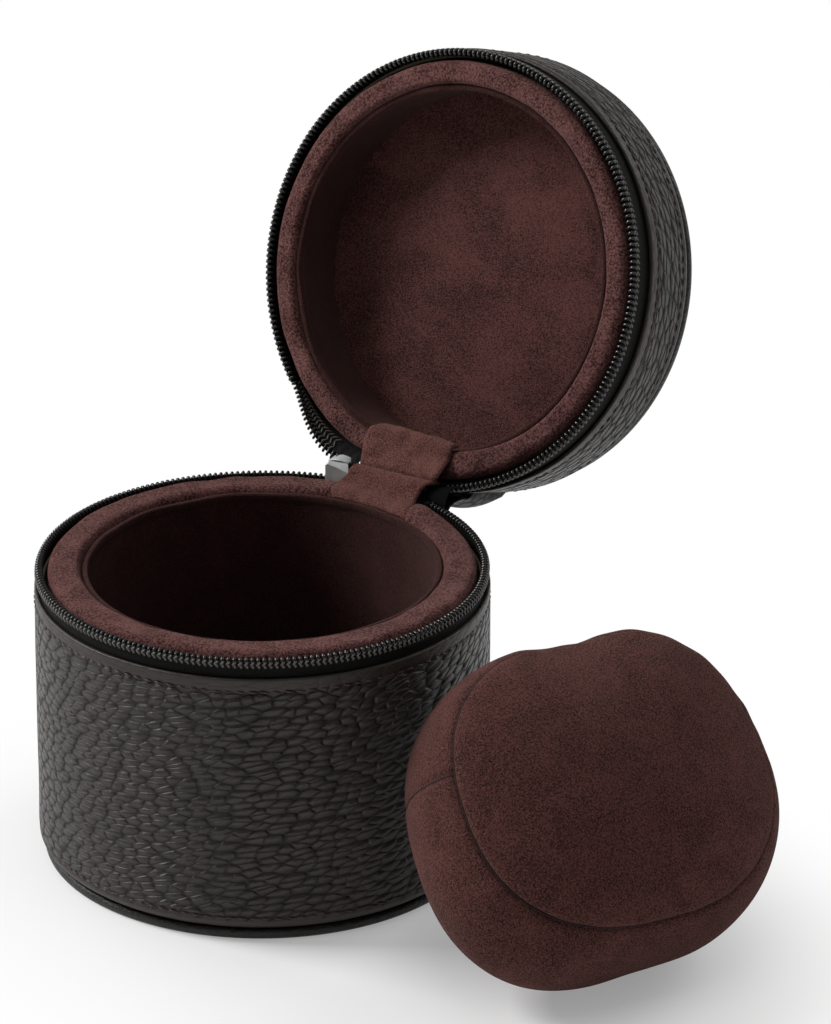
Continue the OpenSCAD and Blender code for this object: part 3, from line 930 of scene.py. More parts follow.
class RowTree:
    """Geometry Nodes that stand copies of one small item in a row round the case's axis."""

    INPUTS = (
        ("Count", "NodeSocketInt"),
        ("Radius", "NodeSocketFloat"),
        ("Height", "NodeSocketFloat"),
        ("Start", "NodeSocketFloat"),
        ("Sweep", "NodeSocketFloat"),
        ("Jitter", "NodeSocketFloat"),
        ("Seed", "NodeSocketInt"),
    )

    def __init__(self, item: bpy.types.Object, finish: Finish) -> None:
        """Build the tree for an item, which lies at the origin and points along +X."""
        self.item = item
        tree = bpy.data.node_groups.new("row_round_case", "GeometryNodeTree")
        self.tree = tree
        tree.interface.new_socket(name="Geometry", in_out="OUTPUT", socket_type="NodeSocketGeometry")
        self.sockets = {
            name: tree.interface.new_socket(name=name, in_out="INPUT", socket_type=kind).identifier
            for name, kind in self.INPUTS
        }
        given = add(tree, "NodeGroupInput").outputs
        number = add(tree, "GeometryNodeInputIndex")
        middle = add(tree, "ShaderNodeMath", {0: number, 1: 0.5}, operation="ADD")
        share = add(tree, "ShaderNodeMath", {0: middle, 1: given["Count"]}, operation="DIVIDE")
        angle = add(
            tree, "ShaderNodeMath", {0: share, 1: given["Sweep"], 2: given["Start"]}, operation="MULTIPLY_ADD"
        )
        across = add(tree, "ShaderNodeMath", {0: angle}, operation="COSINE")
        ahead = add(tree, "ShaderNodeMath", {0: angle}, operation="SINE")
        unit = add(tree, "ShaderNodeCombineXYZ", {0: across, 1: ahead})
        out = add(tree, "ShaderNodeVectorMath", {0: unit, "Scale": given["Radius"]}, operation="SCALE")
        up = add(tree, "ShaderNodeCombineXYZ", {2: given["Height"]})
        spot = add(tree, "ShaderNodeVectorMath", {0: out, 1: up}, operation="ADD")
        points = add(tree, "GeometryNodePoints", {"Count": given["Count"], "Position": spot})
        low = add(tree, "ShaderNodeMath", {0: given["Jitter"], 1: -1.0}, operation="MULTIPLY")
        tilt = add(
            tree,
            "FunctionNodeRandomValue",
            {0: low, 1: given["Jitter"], "Seed": given["Seed"]},
            data_type="FLOAT_VECTOR",
        )
        facing = add(tree, "ShaderNodeCombineXYZ", {2: angle})
        turn = add(tree, "ShaderNodeVectorMath", {0: tilt, 1: facing}, operation="ADD")
        copy = add(tree, "GeometryNodeObjectInfo", {"Object": item, "As Instance": True})
        stand = add(
            tree,
            "GeometryNodeInstanceOnPoints",
            {"Points": points, "Instance": copy.outputs["Geometry"], "Rotation": turn},
        )
        real = add(tree, "GeometryNodeRealizeInstances", {0: stand})
        dressed = add(tree, "GeometryNodeSetMaterial", {"Geometry": real, "Material": finish.material()})
        add(tree, "NodeGroupOutput", {0: dressed})

    def row(
        self,
        name: str,
        case: CaseFrame,
        side: Side,
        values: dict[str, float],
    ) -> bpy.types.Object:
        """Make one row as a plain mesh.

        Args:
            name: The piece's name.
            case: The case's frame.
            side: The half of the case that the row is on.
            values: The tree's inputs; lengths in millimetres, Height from the rim plane, angles in degrees.

        Returns:
            The row, with its place in its mesh.
        """
        scaled = {
            "Count": int(values["Count"]),
            "Radius": values["Radius"] * MM,
            "Height": values["Height"] * MM,
            "Start": math.radians(values["Start"]),
            "Sweep": math.radians(values["Sweep"]),
            "Jitter": math.radians(values["Jitter"]),
            "Seed": int(values["Seed"]),
        }
        holder = bpy.data.objects.new(name + "_holder", bpy.data.meshes.new(name + "_holder"))
        bpy.context.scene.collection.objects.link(holder)
        modifier = holder.modifiers.new("row", "NODES")
        modifier.node_group = self.tree
        for key, value in scaled.items():
            modifier[self.sockets[key]] = value
        bpy.context.view_layer.update()
        seen = holder.evaluated_get(bpy.context.evaluated_depsgraph_get())
        mesh = bpy.data.meshes.new_from_object(seen)
        mesh.name = name
        holder.modifiers.clear()
        bpy.data.objects.remove(holder)
        points = np.zeros(len(mesh.vertices) * 3)
        mesh.vertices.foreach_get("co", points)
        points = case.place(side, points.reshape(-1, 3) / MM) * MM
        mesh.vertices.foreach_set("co", points.ravel())
        work = bmesh.new()
        work.from_mesh(mesh)
        bmesh.ops.recalc_face_normals(work, faces=work.faces)
        work.to_mesh(mesh)
        work.free()
        mesh.shade_smooth()
        piece = bpy.data.objects.new(name, mesh)
        bpy.context.scene.collection.objects.link(piece)
        return piece

    def drop(self) -> None:
        """Remove the item that was copied."""
        bpy.data.objects.remove(self.item)


def rod(path: np.ndarray, radii: np.ndarray, sides: int = 6) -> tuple[np.ndarray, list]:
    """A closed rod along a path.

    Args:
        path: Middle line in millimetres, one point a row.
        radii: Radius at each point.
        sides: Number of sides.

    Returns:
        Points and faces.
    """
    ahead = np.gradient(path, axis=0)
    ahead /= np.linalg.norm(ahead, axis=1)[:, None]
    span = path.max(0) - path.min(0)
    side = np.eye(3)[int(np.argmin(span))]
    rings = []
    for point, forward, radius in zip(path, ahead, radii):
        first = np.cross(forward, side)
        first /= np.linalg.norm(first)
        second = np.cross(forward, first)
        for k in range(sides):
            a = 2 * math.pi * (k + 0.5) / sides
            rings.append(point + radius * (math.cos(a) * first + math.sin(a) * second))
    faces: list[Sequence[int]] = list(grid_faces(len(path), sides, False, True))
    faces.append(range(sides))
    faces.append(range((len(path) - 1) * sides, len(path) * sides))
    return np.array(rings), faces


def ring_rod(line: np.ndarray, radius: float, sides: int = 6) -> tuple[np.ndarray, list[tuple[int, ...]]]:
    """Round rod along a closed line.

    Args:
        line: Points of the line.
        radius: Radius of the rod.
        sides: Number of sides.

    Returns:
        Points and faces.
    """
    forward = np.roll(line, -1, axis=0) - np.roll(line, 1, axis=0)
    forward /= np.linalg.norm(forward, axis=1)[:, None]
    out = line - line.mean(0)
    out -= (out * forward).sum(1)[:, None] * forward
    out /= np.linalg.norm(out, axis=1)[:, None]
    over = np.cross(forward, out)
    turn = 2 * math.pi * np.arange(sides) / sides
    loops = line[:, None] + radius * (
        np.cos(turn)[None, :, None] * out[:, None] + np.sin(turn)[None, :, None] * over[:, None]
    )
    return loops.reshape(-1, 3), list(grid_faces(len(line), sides, True, True))


@dataclass
class OneHalf:
    """What every maker of pieces on one half of the case starts from."""

    case: CaseFrame
    side: Side

    def node(self, name: str) -> str:
        """Full name of one of this half's nodes."""
        return f"{self.side.value}_{name}"


@dataclass
class HalfCase(OneHalf):
    """One half of the case: leather, zip row and padding, modelled as distances from the rim plane."""

    skin: float = 1.0
    corner: float = 4.0
    stitch_in: float = 3.1
    stitch_out: float = 3.2
    stitch_pitch: float = 2.6
    groove: float = 0.28

    def ring(self, name: str) -> Ring:
        """Measure one of this half's nodes."""
        return self.case.ring(self.side, self.node(name))

    def settle(self, piece: bpy.types.Object, slot: str, *nodes: str) -> bpy.types.Object:
        """Hang a piece on this half's body."""
        return settle(piece, self.side.value, slot, *[self.node(n) for n in nodes])

    def build(self) -> None:
        """Build everything on this half but the zip."""
        self.wall()
        self.foot()
        self.stitches()
        self.rim_roll()
        self.lining()
        self.boards_and_foam()

    def stitch_lines(self) -> tuple[float, float]:
        """Distances of the two stitched lines from the rim plane."""
        wall = self.ring("wall_leather")
        return wall.near + self.stitch_in, wall.far - self.stitch_out

    def wall(self) -> None:
        """Leather wall: a soft cut edge, a dented line at each row of stitches, a turned corner."""
        ring = self.ring("wall_leather")
        skin = self.skin
        outline = fillet(
            [
                (ring.inner, ring.far, 0.3),
                (ring.inner, ring.far - skin, 0.3),
                (ring.outer - skin, ring.far - skin, self.corner - skin),
                (ring.outer - skin, ring.near, 0.35),
                (ring.outer, ring.near, 0.55),
                (ring.outer, ring.far, self.corner),
            ]
        )
        outline = resample(outline, 0.45)
        lines = self.stitch_lines()

        def dented(angles: np.ndarray, outlines: np.ndarray) -> np.ndarray:
            """Dent the stitched lines and let the wall breathe a little."""
            radii, away = outlines[:, :, 0], outlines[:, :, 1]
            outside = np.clip((radii - (ring.outer - 0.6 * skin)) / (0.6 * skin), 0, 1)
            pull = sum(np.exp(-(((away - line) / 0.55) ** 2)) for line in lines)
            flat = round_axis(angles, radii, away)
            swell = waves(flat, 22.0, 11).reshape(radii.shape)
            outlines[:, :, 0] = radii - outside * (self.groove * pull + 0.05 - 0.09 * swell)
            return outlines

        middle = (lines[0] + lines[1]) / 2
        half = (lines[1] - lines[0]) / 2
        finish = self.case.leather(self.side, middle, half)
        wall = revolve(
            self.node("leather_wall"), self.case, self.side, outline, finish, 308, shape=dented, sharp=75
        )
        self.settle(wall, "leather", "wall_leather")

    def foot(self) -> None:
        """Wrapped disc that closes this half, its skin rolled over the edge."""
        ring = self.ring("end_leather")
        wall = self.ring("wall_leather")
        skin = 0.6
        outline = fillet(
            [
                (0.0, ring.far, 0.0),
                (ring.outer, ring.far, 1.0),
                (ring.outer, ring.near, 1.0),
                (wall.inner, ring.near, 0.2),
                (wall.inner, ring.near + skin, 0.2),
                (ring.outer - skin, ring.near + skin, 0.3),
                (ring.outer - skin, ring.far - skin, 0.3),
                (0.0, ring.far - skin, 0.0),
            ]
        )
        foot = revolve(
            self.node("leather_foot"), self.case, self.side, resample(outline, 2.0), FOOT_LEATHER, 288
        )
        self.settle(foot, "leather", "end_leather")

    def stitches(self) -> None:
        """Two rows of thread, each stitch sunk at both ends in the dented line."""
        ring = self.ring("wall_leather")
        length, thick = 0.72 * self.stitch_pitch, 0.24
        steps = np.linspace(-1, 1, 7)
        path = np.column_stack([-0.30 * steps**2, steps * length / 2, 0.14 * steps])
        points, faces = rod(path, thick * np.sqrt(1 - 0.55 * steps**2))
        item = make_piece("stitch_item", points, faces, SEAM_THREAD)
        tree = RowTree(item, SEAM_THREAD)
        radius = ring.outer - self.groove + 0.5 * thick
        for label, line in zip(("inner", "outer"), self.stitch_lines()):
            drop = self.corner - (ring.far - line)
            inset = self.corner - math.sqrt(max(self.corner**2 - max(drop, 0.0) ** 2, 0.0))
            count = round(2 * math.pi * radius / self.stitch_pitch)
            row = tree.row(
                self.node(f"stitches_{label}"),
                self.case,
                self.side,
                {
                    "Count": count,
                    "Radius": radius - inset,
                    "Height": line,
                    "Start": 0.0,
                    "Sweep": 360.0,
                    "Jitter": 4.0,
                    "Seed": 5,
                },
            )
            self.settle(row, "leather")
        tree.drop()

    def rim_roll(self) -> None:
        """Suede-covered roll along the rim, pressed flat under the strap and puckered beside it."""
        ring = self.ring("rim_pad")
        is_base = self.side is Side.BASE
        wide = ring.outer - ring.inner
        outline = fillet(
            [
                (ring.inner, ring.far, 0.4),
                (ring.outer - 0.8, ring.far, 0.4),
                (ring.outer - 0.8, ring.near + 4.6, 0.3),
                (ring.outer + 0.25, ring.near + 3.8, 0.4),
                (ring.outer + 0.25, ring.near, 0.42 * wide),
                (ring.inner, ring.near, 0.26 * wide),
            ],
            12,
        )

        def soft(angles: np.ndarray, outlines: np.ndarray) -> np.ndarray:
            """Make the roll slightly uneven, and press it where the strap lies."""
            radii, away = outlines[:, :, 0], outlines[:, :, 1]
            top = np.clip(1 - (away - ring.near) / 4.0, 0, 1)
            flat = round_axis(angles, radii, away)
            uneven = waves(flat, 9.0, 21).reshape(radii.shape)
            across = (angles[:, None] - math.pi / 2 + math.pi) % (2 * math.pi) - math.pi
            x = -across * radii
            left, right = STRAP_FEET[self.side]
            under = 1 / (1 + np.exp(-(right - 0.6 - x) / 0.35)) / (1 + np.exp(-(x - left - 0.6) / 0.35))
            puffs = ((right + 2.6, 2.4, 0.42), (left - 3.2, 2.2, 0.15)) if is_base else (
                (right + 6.0, 3.6, 0.12),
                (left - 2.4, 2.4, 0.1),
            )
            beside = sum(high * np.exp(-(((x - spot) / wide_by) ** 2)) for spot, wide_by, high in puffs)
            if not is_base:
                inside = np.clip(1 - (radii - ring.inner) / wide, 0, 1)
                radii = radii - 1.4 * np.exp(-(((x - 13.0) / 10.0) ** 2)) * inside * top
            crown = np.clip((radii - ring.inner) / wide * 1.4, 0, 1)
            outlines[:, :, 1] = away + top * (1.25 * under - crown * beside + 0.12 * (uneven - 0.6))
            outlines[:, :, 0] = radii + 0.10 * top * waves(flat, 12.0, 22).reshape(radii.shape)
            return outlines

        roll = revolve(
            self.node("rim_roll"), self.case, self.side, resample(outline, 0.7), RIM_SUEDE, 432, shape=soft
        )
        self.settle(roll, "suede", "rim_pad")

    def lining(self) -> None:
        """Suede lining of the hollow, its edge folded over into a round lip."""
        ring = self.ring("liner")
        thick = ring.outer - ring.inner
        lip = 0.3
        outline = fillet(
            [
                (ring.inner, ring.far, 0.2),
                (ring.inner, ring.near + 2.2, 0.8),
                (ring.inner - lip, ring.near + 1.2, 0.5),
                (ring.inner - lip, ring.near, 0.55),
                (ring.outer, ring.near, 0.55),
                (ring.outer, ring.far, 0.2),
            ],
            6,
        )

        def soft(angles: np.ndarray, outlines: np.ndarray) -> np.ndarray:
            """Let the lip wander and the cloth ripple a little."""
            radii, away = outlines[:, :, 0], outlines[:, :, 1]
            top = np.exp(-((away - ring.near) / 3.0))
            flat = round_axis(angles, radii, away)
            wander = waves(flat, 17.0, 31).reshape(radii.shape)
            face = np.clip((ring.outer - radii) / thick, 0, 1)
            outlines[:, :, 0] = radii - 0.10 * face * (1 + wander)
            outlines[:, :, 1] = away + 0.16 * top * wander
            return outlines

        # Its suede is drawn darker than the rim's, as painted shade for the hollow.
        lining = revolve(
            self.node("lining"), self.case, self.side, resample(outline, 1.2), SHADED_LINING_SUEDE, 288, shape=soft
        )
        self.settle(lining, "suede", "liner")

    def plump(
        self, name: str, node: str, finish: Finish, slot: str, rounding: float, dome: float, disc: bool = True
    ) -> None:
        """A soft ring or disc with rounded edges.

        Args:
            name: The piece's name, without this half's name.
            node: The node that it stands for.
            finish: What it is finished with.
            slot: Name of the piece's slot; it is not used.
            rounding: Rounding of its edges.
            dome: How far its face on the hollow rises in the middle.
            disc: Whether it is a disc and not a ring.
        """
        ring = self.ring(node)
        inner = 0.0 if disc else ring.inner
        edge = 0.0 if inner == 0.0 else rounding
        outline = fillet(
            [
                (inner, ring.near, edge),
                (ring.outer, ring.near, rounding),
                (ring.outer, ring.far, rounding),
                (inner, ring.far, edge),
            ]
        )

        def soft(angles: np.ndarray, outlines: np.ndarray) -> np.ndarray:
            """Dome the near face and make it slightly uneven."""
            radii, away = outlines[:, :, 0], outlines[:, :, 1]
            near = np.clip(1 - (away - ring.near) / (ring.far - ring.near), 0, 1)
            flat = round_axis(angles, radii, away)
            uneven = waves(flat, 13.0, 41).reshape(radii.shape)
            hump = np.clip(1 - (radii / ring.outer) ** 2, 0, 1)
            outlines[:, :, 1] = away - near * hump * (dome + 0.25 * dome * uneven)
            return outlines

        shape = soft if dome else None
        piece = revolve(
            self.node(name), self.case, self.side, resample(outline, 1.6), finish, 192, shape=shape
        )
        self.settle(piece, slot, node)

    def boards_and_foam(self) -> None:
        """Stiffening boards keep their frame shapes; the foam behind the lining is softened."""
        names = ["end_board", "wall_board", "floor_board" if self.side is Side.BASE else "roof_board"]
        for name in names:
            redress(self.case.nodes[self.node(name)], BOARD)
        self.plump("wall_foam", "foam_wall", FOAM, "foam", 0.6, 0.0, disc=False)
        if self.side is Side.BASE:
            self.plump("floor_cushion", "floor_pad", SHADED_LINING_SUEDE, "suede", 1.5, 0.6)
        else:
            self.plump("roof_cushion", "roof_foam", FOAM, "foam", 0.8, 0.0)
            self.plump("suede_panel", "inner_panel", PANEL_SUEDE, "suede_panel", 0.4, 0.35)


@dataclass
class ZipRow(OneHalf):
    """One half of the zip: woven tape, coil teeth and the thread that holds them."""

    from_hinge: float
    tooth_pitch: float = 1.3
    tooth_rod: float = 0.31
    end_gap: float = 13.5

    def arc(self) -> tuple[float, float]:
        """First angle and sweep of the row, in degrees."""
        return 90 + self.from_hinge, 360 - self.from_hinge - self.end_gap

    def build(self) -> None:
        """Build tape, teeth and thread, and dress the metal stop."""
        side = self.side
        case = self.case
        tape = case.ring(side, self.node("zip_tape"))
        teeth = case.ring(side, self.node("zip_teeth"))
        start, sweep = self.arc()
        strip = fillet(
            [
                (tape.inner, tape.far, 0.1),
                (tape.outer, tape.far, 0.1),
                (tape.outer, teeth.near + 1.0, 0.15),
                (tape.inner, teeth.near + 1.0, 0.15),
            ],
            2,
        )
        cloth = revolve(
            self.node("tape"), case, side, resample(strip, 1.0), TAPE, 400, (start, sweep + 1.4), sharp=50
        )
        settle(cloth, side.value, "zip_tape", self.node("zip_tape"))
        binding = fillet(
            [
                (tape.inner - 1.6, teeth.near + 7.6, 0.1),
                (tape.inner - 1.05, teeth.near + 7.6, 0.1),
                (tape.inner - 0.85, teeth.near + 3.2, 0.25),
                (tape.inner - 1.6, teeth.near + 3.2, 0.25),
            ],
            3,
        )
        behind = revolve(
            self.node("tape_binding"), case, side, resample(binding, 1.0), TAPE, 288, sharp=50
        )
        settle(behind, side.value, "zip_tape")
        cord = fillet(
            [
                (tape.outer - 0.1, teeth.near + 2.0, 0.05),
                (teeth.outer - 0.22, teeth.near + 2.0, 0.2),
                (teeth.outer - 0.12, teeth.near + 0.75, 0.25),
                (tape.outer - 0.1, teeth.near + 0.65, 0.05),
            ],
            3,
        )
        sewn = revolve(self.node("sewn_band"), case, side, cord, TAPE, 400, (start, sweep), sharp=50)
        settle(sewn, side.value, "zip_tape")
        count = round(math.radians(sweep) * teeth.outer / self.tooth_pitch)
        values = {
            "Count": count,
            "Radius": (teeth.inner + teeth.outer) / 2,
            "Height": teeth.near,
            "Start": start,
            "Sweep": sweep,
            "Jitter": 1.5,
            "Seed": 3,
        }
        tooth = make_piece("tooth_item", *self.tooth(teeth), NYLON)
        tree = RowTree(tooth, NYLON)
        row = tree.row(self.node("coil"), case, side, values)
        settle(row, side.value, "zip_teeth", self.node("zip_teeth"))
        tree.drop()
        rows = (("upper", 1.4, -1.0, 0.3), ("lower", 2.0, 1.0, 0.32))
        for label, away, slant, long in rows:
            steps = np.linspace(-1, 1, 5)
            path = np.column_stack([-0.10 * steps**2, 0.42 * slant * steps, long * steps])
            points, faces = rod(path, 0.17 * np.sqrt(1.1 - 0.6 * steps**2))
            item = make_piece("thread_item", points, faces, ZIP_THREAD)
            thread_tree = RowTree(item, ZIP_THREAD)
            values = dict(values, Radius=teeth.outer - 0.02, Height=away)
            thread = thread_tree.row(self.node(f"thread_{label}"), case, side, values)
            settle(thread, side.value, "zip_tape")
            thread_tree.drop()
        redress(case.nodes[self.node("zip_stop")], STOP_METAL)

    def tooth(self, teeth: Ring) -> tuple[np.ndarray, list]:
        """One turn of the coil: up the outside, over a flattened head, down the inside."""
        depth = (teeth.outer - teeth.inner) / 2 - self.tooth_rod
        tall = teeth.far - teeth.near
        turn = np.radians(np.linspace(0, 180, 7))
        high = self.tooth_rod + depth * (1 - np.sin(turn)) * 0.6
        head = np.column_stack([depth * np.cos(turn), 0 * turn, high])
        path = np.vstack([[[depth, 0.0, tall]], head, [[-depth, 0.0, 0.7 * tall]]])
        path[:, 1] = 0.14 * (path[:, 2] - path[:, 2].mean()) * np.sign(path[:, 0])
        swell = np.concatenate([[0.9], 1.0 + 0.3 * np.sin(turn), [0.9]])
        return rod(path, self.tooth_rod * swell, 6)


@dataclass
class ZipBend:
    """The lid's last stretch of tape and teeth, which leaves the lid and runs down into the slider."""

    case: CaseFrame
    first: float = 12.0
    last: float = 46.0
    still: float = 5.0
    hidden: float = 21.0
    teeth_r: float = 49.1
    pitch: float = 1.3
    blend_y: tuple[float, float] = (45.0, 55.5)

    def share(self, from_hinge: Any) -> Any:
        """How far a tooth has turned with the open lid."""
        t = np.clip((from_hinge - self.still) / (self.last - self.still), 0, 1)
        return t * t * (3 - 2 * t)

    def build(self) -> None:
        """Build the tape, its teeth and its threads."""
        angles = np.linspace(self.first, self.last, 70)
        across = np.linspace(0, 1, 14)
        grid = self.on_tape(self.teeth_r, angles[:, None], across[None, :])
        tape = slab("lid_tape_fan", grid, 0.4, TAPE, 0.3)
        self.blended(tape, "zip_tape", "lid_tape_bend")
        count = round(math.radians(self.last - self.first) * 50 / self.pitch)
        spots = self.first + (self.last - self.first) * (np.arange(count) + 0.5) / count
        teeth, threads = [], []
        for spot in spots:
            teeth.append(self.coil_turn(spot))
            if spot > self.hidden:
                for across, slant in ((0.13, -0.5), (0.27, 0.5), (0.41, -0.5)):
                    threads.append(self.thread(spot, across, slant))
        self.blended(self.joined("lid_coil_bend", teeth, NYLON), "zip_teeth", "lid_teeth_bend")
        self.blended(self.joined("lid_thread_bend", threads, ZIP_THREAD), "zip_tape")

    def on_tape(self, radius: Any, from_hinge: Any, across: Any) -> np.ndarray:
        """Points of the bend, from the tape's toothed edge (across 0) to the lid's wall (across 1)."""
        share = self.share(from_hinge)
        share = share + (1 - share) * np.clip(across, 0, 1) ** 1.1
        return self.case.swung(radius, from_hinge, 1.4 + 4.7 * np.asarray(across), share)

    def coil_turn(self, spot: float) -> tuple[np.ndarray, list]:
        """One tooth at an angle from the hinge."""
        radii = np.array([0.5, 0.5, 0.36, 0.0, -0.36, -0.5, -0.5]) + self.teeth_r
        across = np.array([0.12, -0.05, -0.1, -0.13, -0.1, -0.05, 0.12])
        path = self.on_tape(radii, spot, across)
        return rod(path, np.array([0.22, 0.26, 0.29, 0.32, 0.29, 0.26, 0.22]), 6)

    def thread(self, spot: float, across: float, slant: float) -> tuple[np.ndarray, list]:
        """One stitch over the tape's inner side."""
        steps = np.linspace(-1, 1, 4)
        path = self.on_tape(self.teeth_r - 0.4 + 0.1 * steps**2, spot + slant * steps, across + 0.06 * steps)
        return rod(path, np.array([0.1, 0.17, 0.17, 0.1]), 5)

    def joined(self, name: str, parts: list[tuple[np.ndarray, list]], finish: Finish) -> bpy.types.Object:
        """Join small shapes into one piece."""
        points, faces, start = [], [], 0
        for shape_points, shape_faces in parts:
            points.append(shape_points)
            faces += [tuple(start + k for k in face) for face in shape_faces]
            start += len(shape_points)
        return make_piece(name, np.vstack(points), faces, finish)

    def blended(self, piece: bpy.types.Object, slot: str, *nodes: str) -> None:
        """Bake a piece's place into its mesh and report it; it follows neither half."""
        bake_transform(piece)
        note(piece, slot, *nodes)


# Outline of the strap's two ends across the case, in millimetres either side of the middle
STRAP_FEET = {Side.BASE: (-11.8, 9.3), Side.LID: (-11.7, 11.7)}


@dataclass
class Hinge:
    """The soft hinge: a suede strap inside, a leather patch outside and the zip's sewn tail beside it."""

    case: CaseFrame
    strap_t: float = 1.1
    patch_t: float = 1.2
    patch_half: float = 12.6

    def build(self) -> None:
        """Build strap, patch and tail."""
        self.strap()
        self.patch()
        self.tail()

    def strap(self) -> None:
        """Strap that lies sunk in both rolls and is creased where it crosses the gap."""
        rim, case = self.case.rim, self.case
        base_line = [
            (39.9, -1.75, -9.8, 10.8),
            (40.5, -1.05, -10.4, 10.5),
            (42.0, -0.55, -11.5, 9.9),
            (44.2, -0.55, -12.4, 9.2),
            (46.0, 0.5, -11.5, 8.9),
            (47.8, 2.6, -10.8, 9.4),
        ]
        gap_line = [(49.4, 3.5, -10.2, 11.0), (50.9, 4.5, -10.6, 11.4)]
        lid_line = [
            (43.3, -0.9, 0.3),
            (41.8, -0.2, 0.5),
            (40.3, 0.0, 0.9),
            (39.5, 0.6, 1.2),
            (39.2, 2.6, 1.3),
        ]
        columns = np.linspace(0, 1, 41)
        rows = []
        for y, z, left, right in base_line:
            x = left + (right - left) * columns
            follow = (y - np.sqrt(y * y - x * x * 0.8)) * (1.0 if y < 44 else 0.25)
            rows.append(np.stack([x, y - follow, rim + z + 0 * x], axis=1))
        for y, z, left, right in gap_line:
            x = left + (right - left) * columns
            rows.append(np.stack([x, y + 0 * x, rim + z + 0.06 * x], axis=1))
        left, right = STRAP_FEET[Side.LID]
        for y, z, bow in lid_line:
            x = left + (right - left) * columns
            follow = y - np.sqrt(y * y - x * x * 0.8) + bow * (1 - (x / 12.5) ** 2)
            follow = follow - 1.5 * bow * np.clip(-x / 11.7, 0, 1) ** 5
            follow = follow - 0.5 * bow * np.clip(x / 11.7, 0, 1) ** 5
            shut = np.stack([x, y - follow, rim + z + 0 * x], axis=1)
            rows.append(case.turned(shut, -case.open_deg))
        grid = smooth_rows(np.array(rows), 110)
        crease_row = 110 * len(base_line) / (len(rows) - 1)
        distance = (np.arange(110)[:, None] - crease_row) / 2.6
        sink = 1.2 * np.exp(-(distance**2))
        rumple = waves(grid.reshape(-1, 3), 5.5, 51).reshape(grid.shape[:2])
        along, sideways = np.gradient(grid, axis=0), np.gradient(grid, axis=1)
        normal = np.cross(along, sideways)
        normal /= np.linalg.norm(normal, axis=2)[:, :, None]
        if normal[60, 20] @ np.array([0.5, -0.7, 0.4]) < 0:
            normal = -normal
        grid = grid + normal * (0.12 * rumple - sink)[:, :, None]
        strap = slab("hinge_strap_suede", grid, self.strap_t, STRAP_SUEDE, 0.45)
        self.blended(strap, "suede", "hinge_strap")

    def patch(self) -> None:
        """Leather patch, flat on the base's wall, slack between the halves and full over the lid's."""
        case = self.case
        x = np.linspace(-1, 1, 33) * self.patch_half + 1.0
        crown = 1 - np.abs(np.linspace(-1, 1, 33)) ** 6
        sag = 51 - np.sqrt(51**2 - x**2)
        rows = []
        for radius, z in ((50.9, 46.4), (51.1, 50.0), (51.1, 54.0), (51.1, 58.0), (51.2, 61.4)):
            rows.append(np.stack([x, np.sqrt(radius**2 - x**2), z + 0 * x], axis=1))
        slack = (
            (52.0, 64.0, 0.9, 0.1),
            (53.6, 65.2, 0.5, 0.5),
            (56.0, 64.6, 0.0, 0.9),
            (58.6, 63.6, -0.3, 1.0),
        )
        for y, z, bow, lift in slack:
            rows.append(np.stack([x, y - bow * sag, z + lift * sag], axis=1))
        for rise, z in ((2.0, 78.0), (2.9, 81.0), (3.1, 84.5), (2.5, 88.0), (1.2, 91.0)):
            radius = 50.35 + rise * crown
            shut = np.stack([x, np.sqrt(radius**2 - x**2), z + 0 * x], axis=1)
            rows.append(case.turned(shut, -case.open_deg))
        grid = smooth_rows(np.array(rows), 90)
        grid += 0.06 * waves(grid.reshape(-1, 3), 7.0, 61).reshape(grid.shape[:2])[:, :, None]
        patch = slab("hinge_patch_leather", grid, self.patch_t, PATCH_LEATHER, 0.6)
        self.blended(patch, "leather", "hinge_patch")

    def tail(self) -> None:
        """The two tapes' sewn ends, which close the corner between the rows beyond the stop."""
        case = self.case
        angles = np.linspace(-11.0, -19.5, 12)
        share = np.linspace(-0.02, 1.02, 26)
        pinch = np.sin(np.pi * np.clip(share, 0, 1))
        grid = case.swung(49.1, angles[None, :] + 0.8 * pinch[:, None], 0.0, share[:, None])
        # Its finish is drawn darker than the zip tape, as painted shade.
        tail = slab("zip_tail", grid, 0.36, SHADED_TAIL_TAPE, 0.25)
        self.blended(tail, "zip_tape")

    def blended(self, piece: bpy.types.Object, slot: str, *nodes: str) -> None:
        """Bake a piece's place into its mesh and report it; it follows neither half."""
        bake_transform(piece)
        note(piece, slot, *nodes)


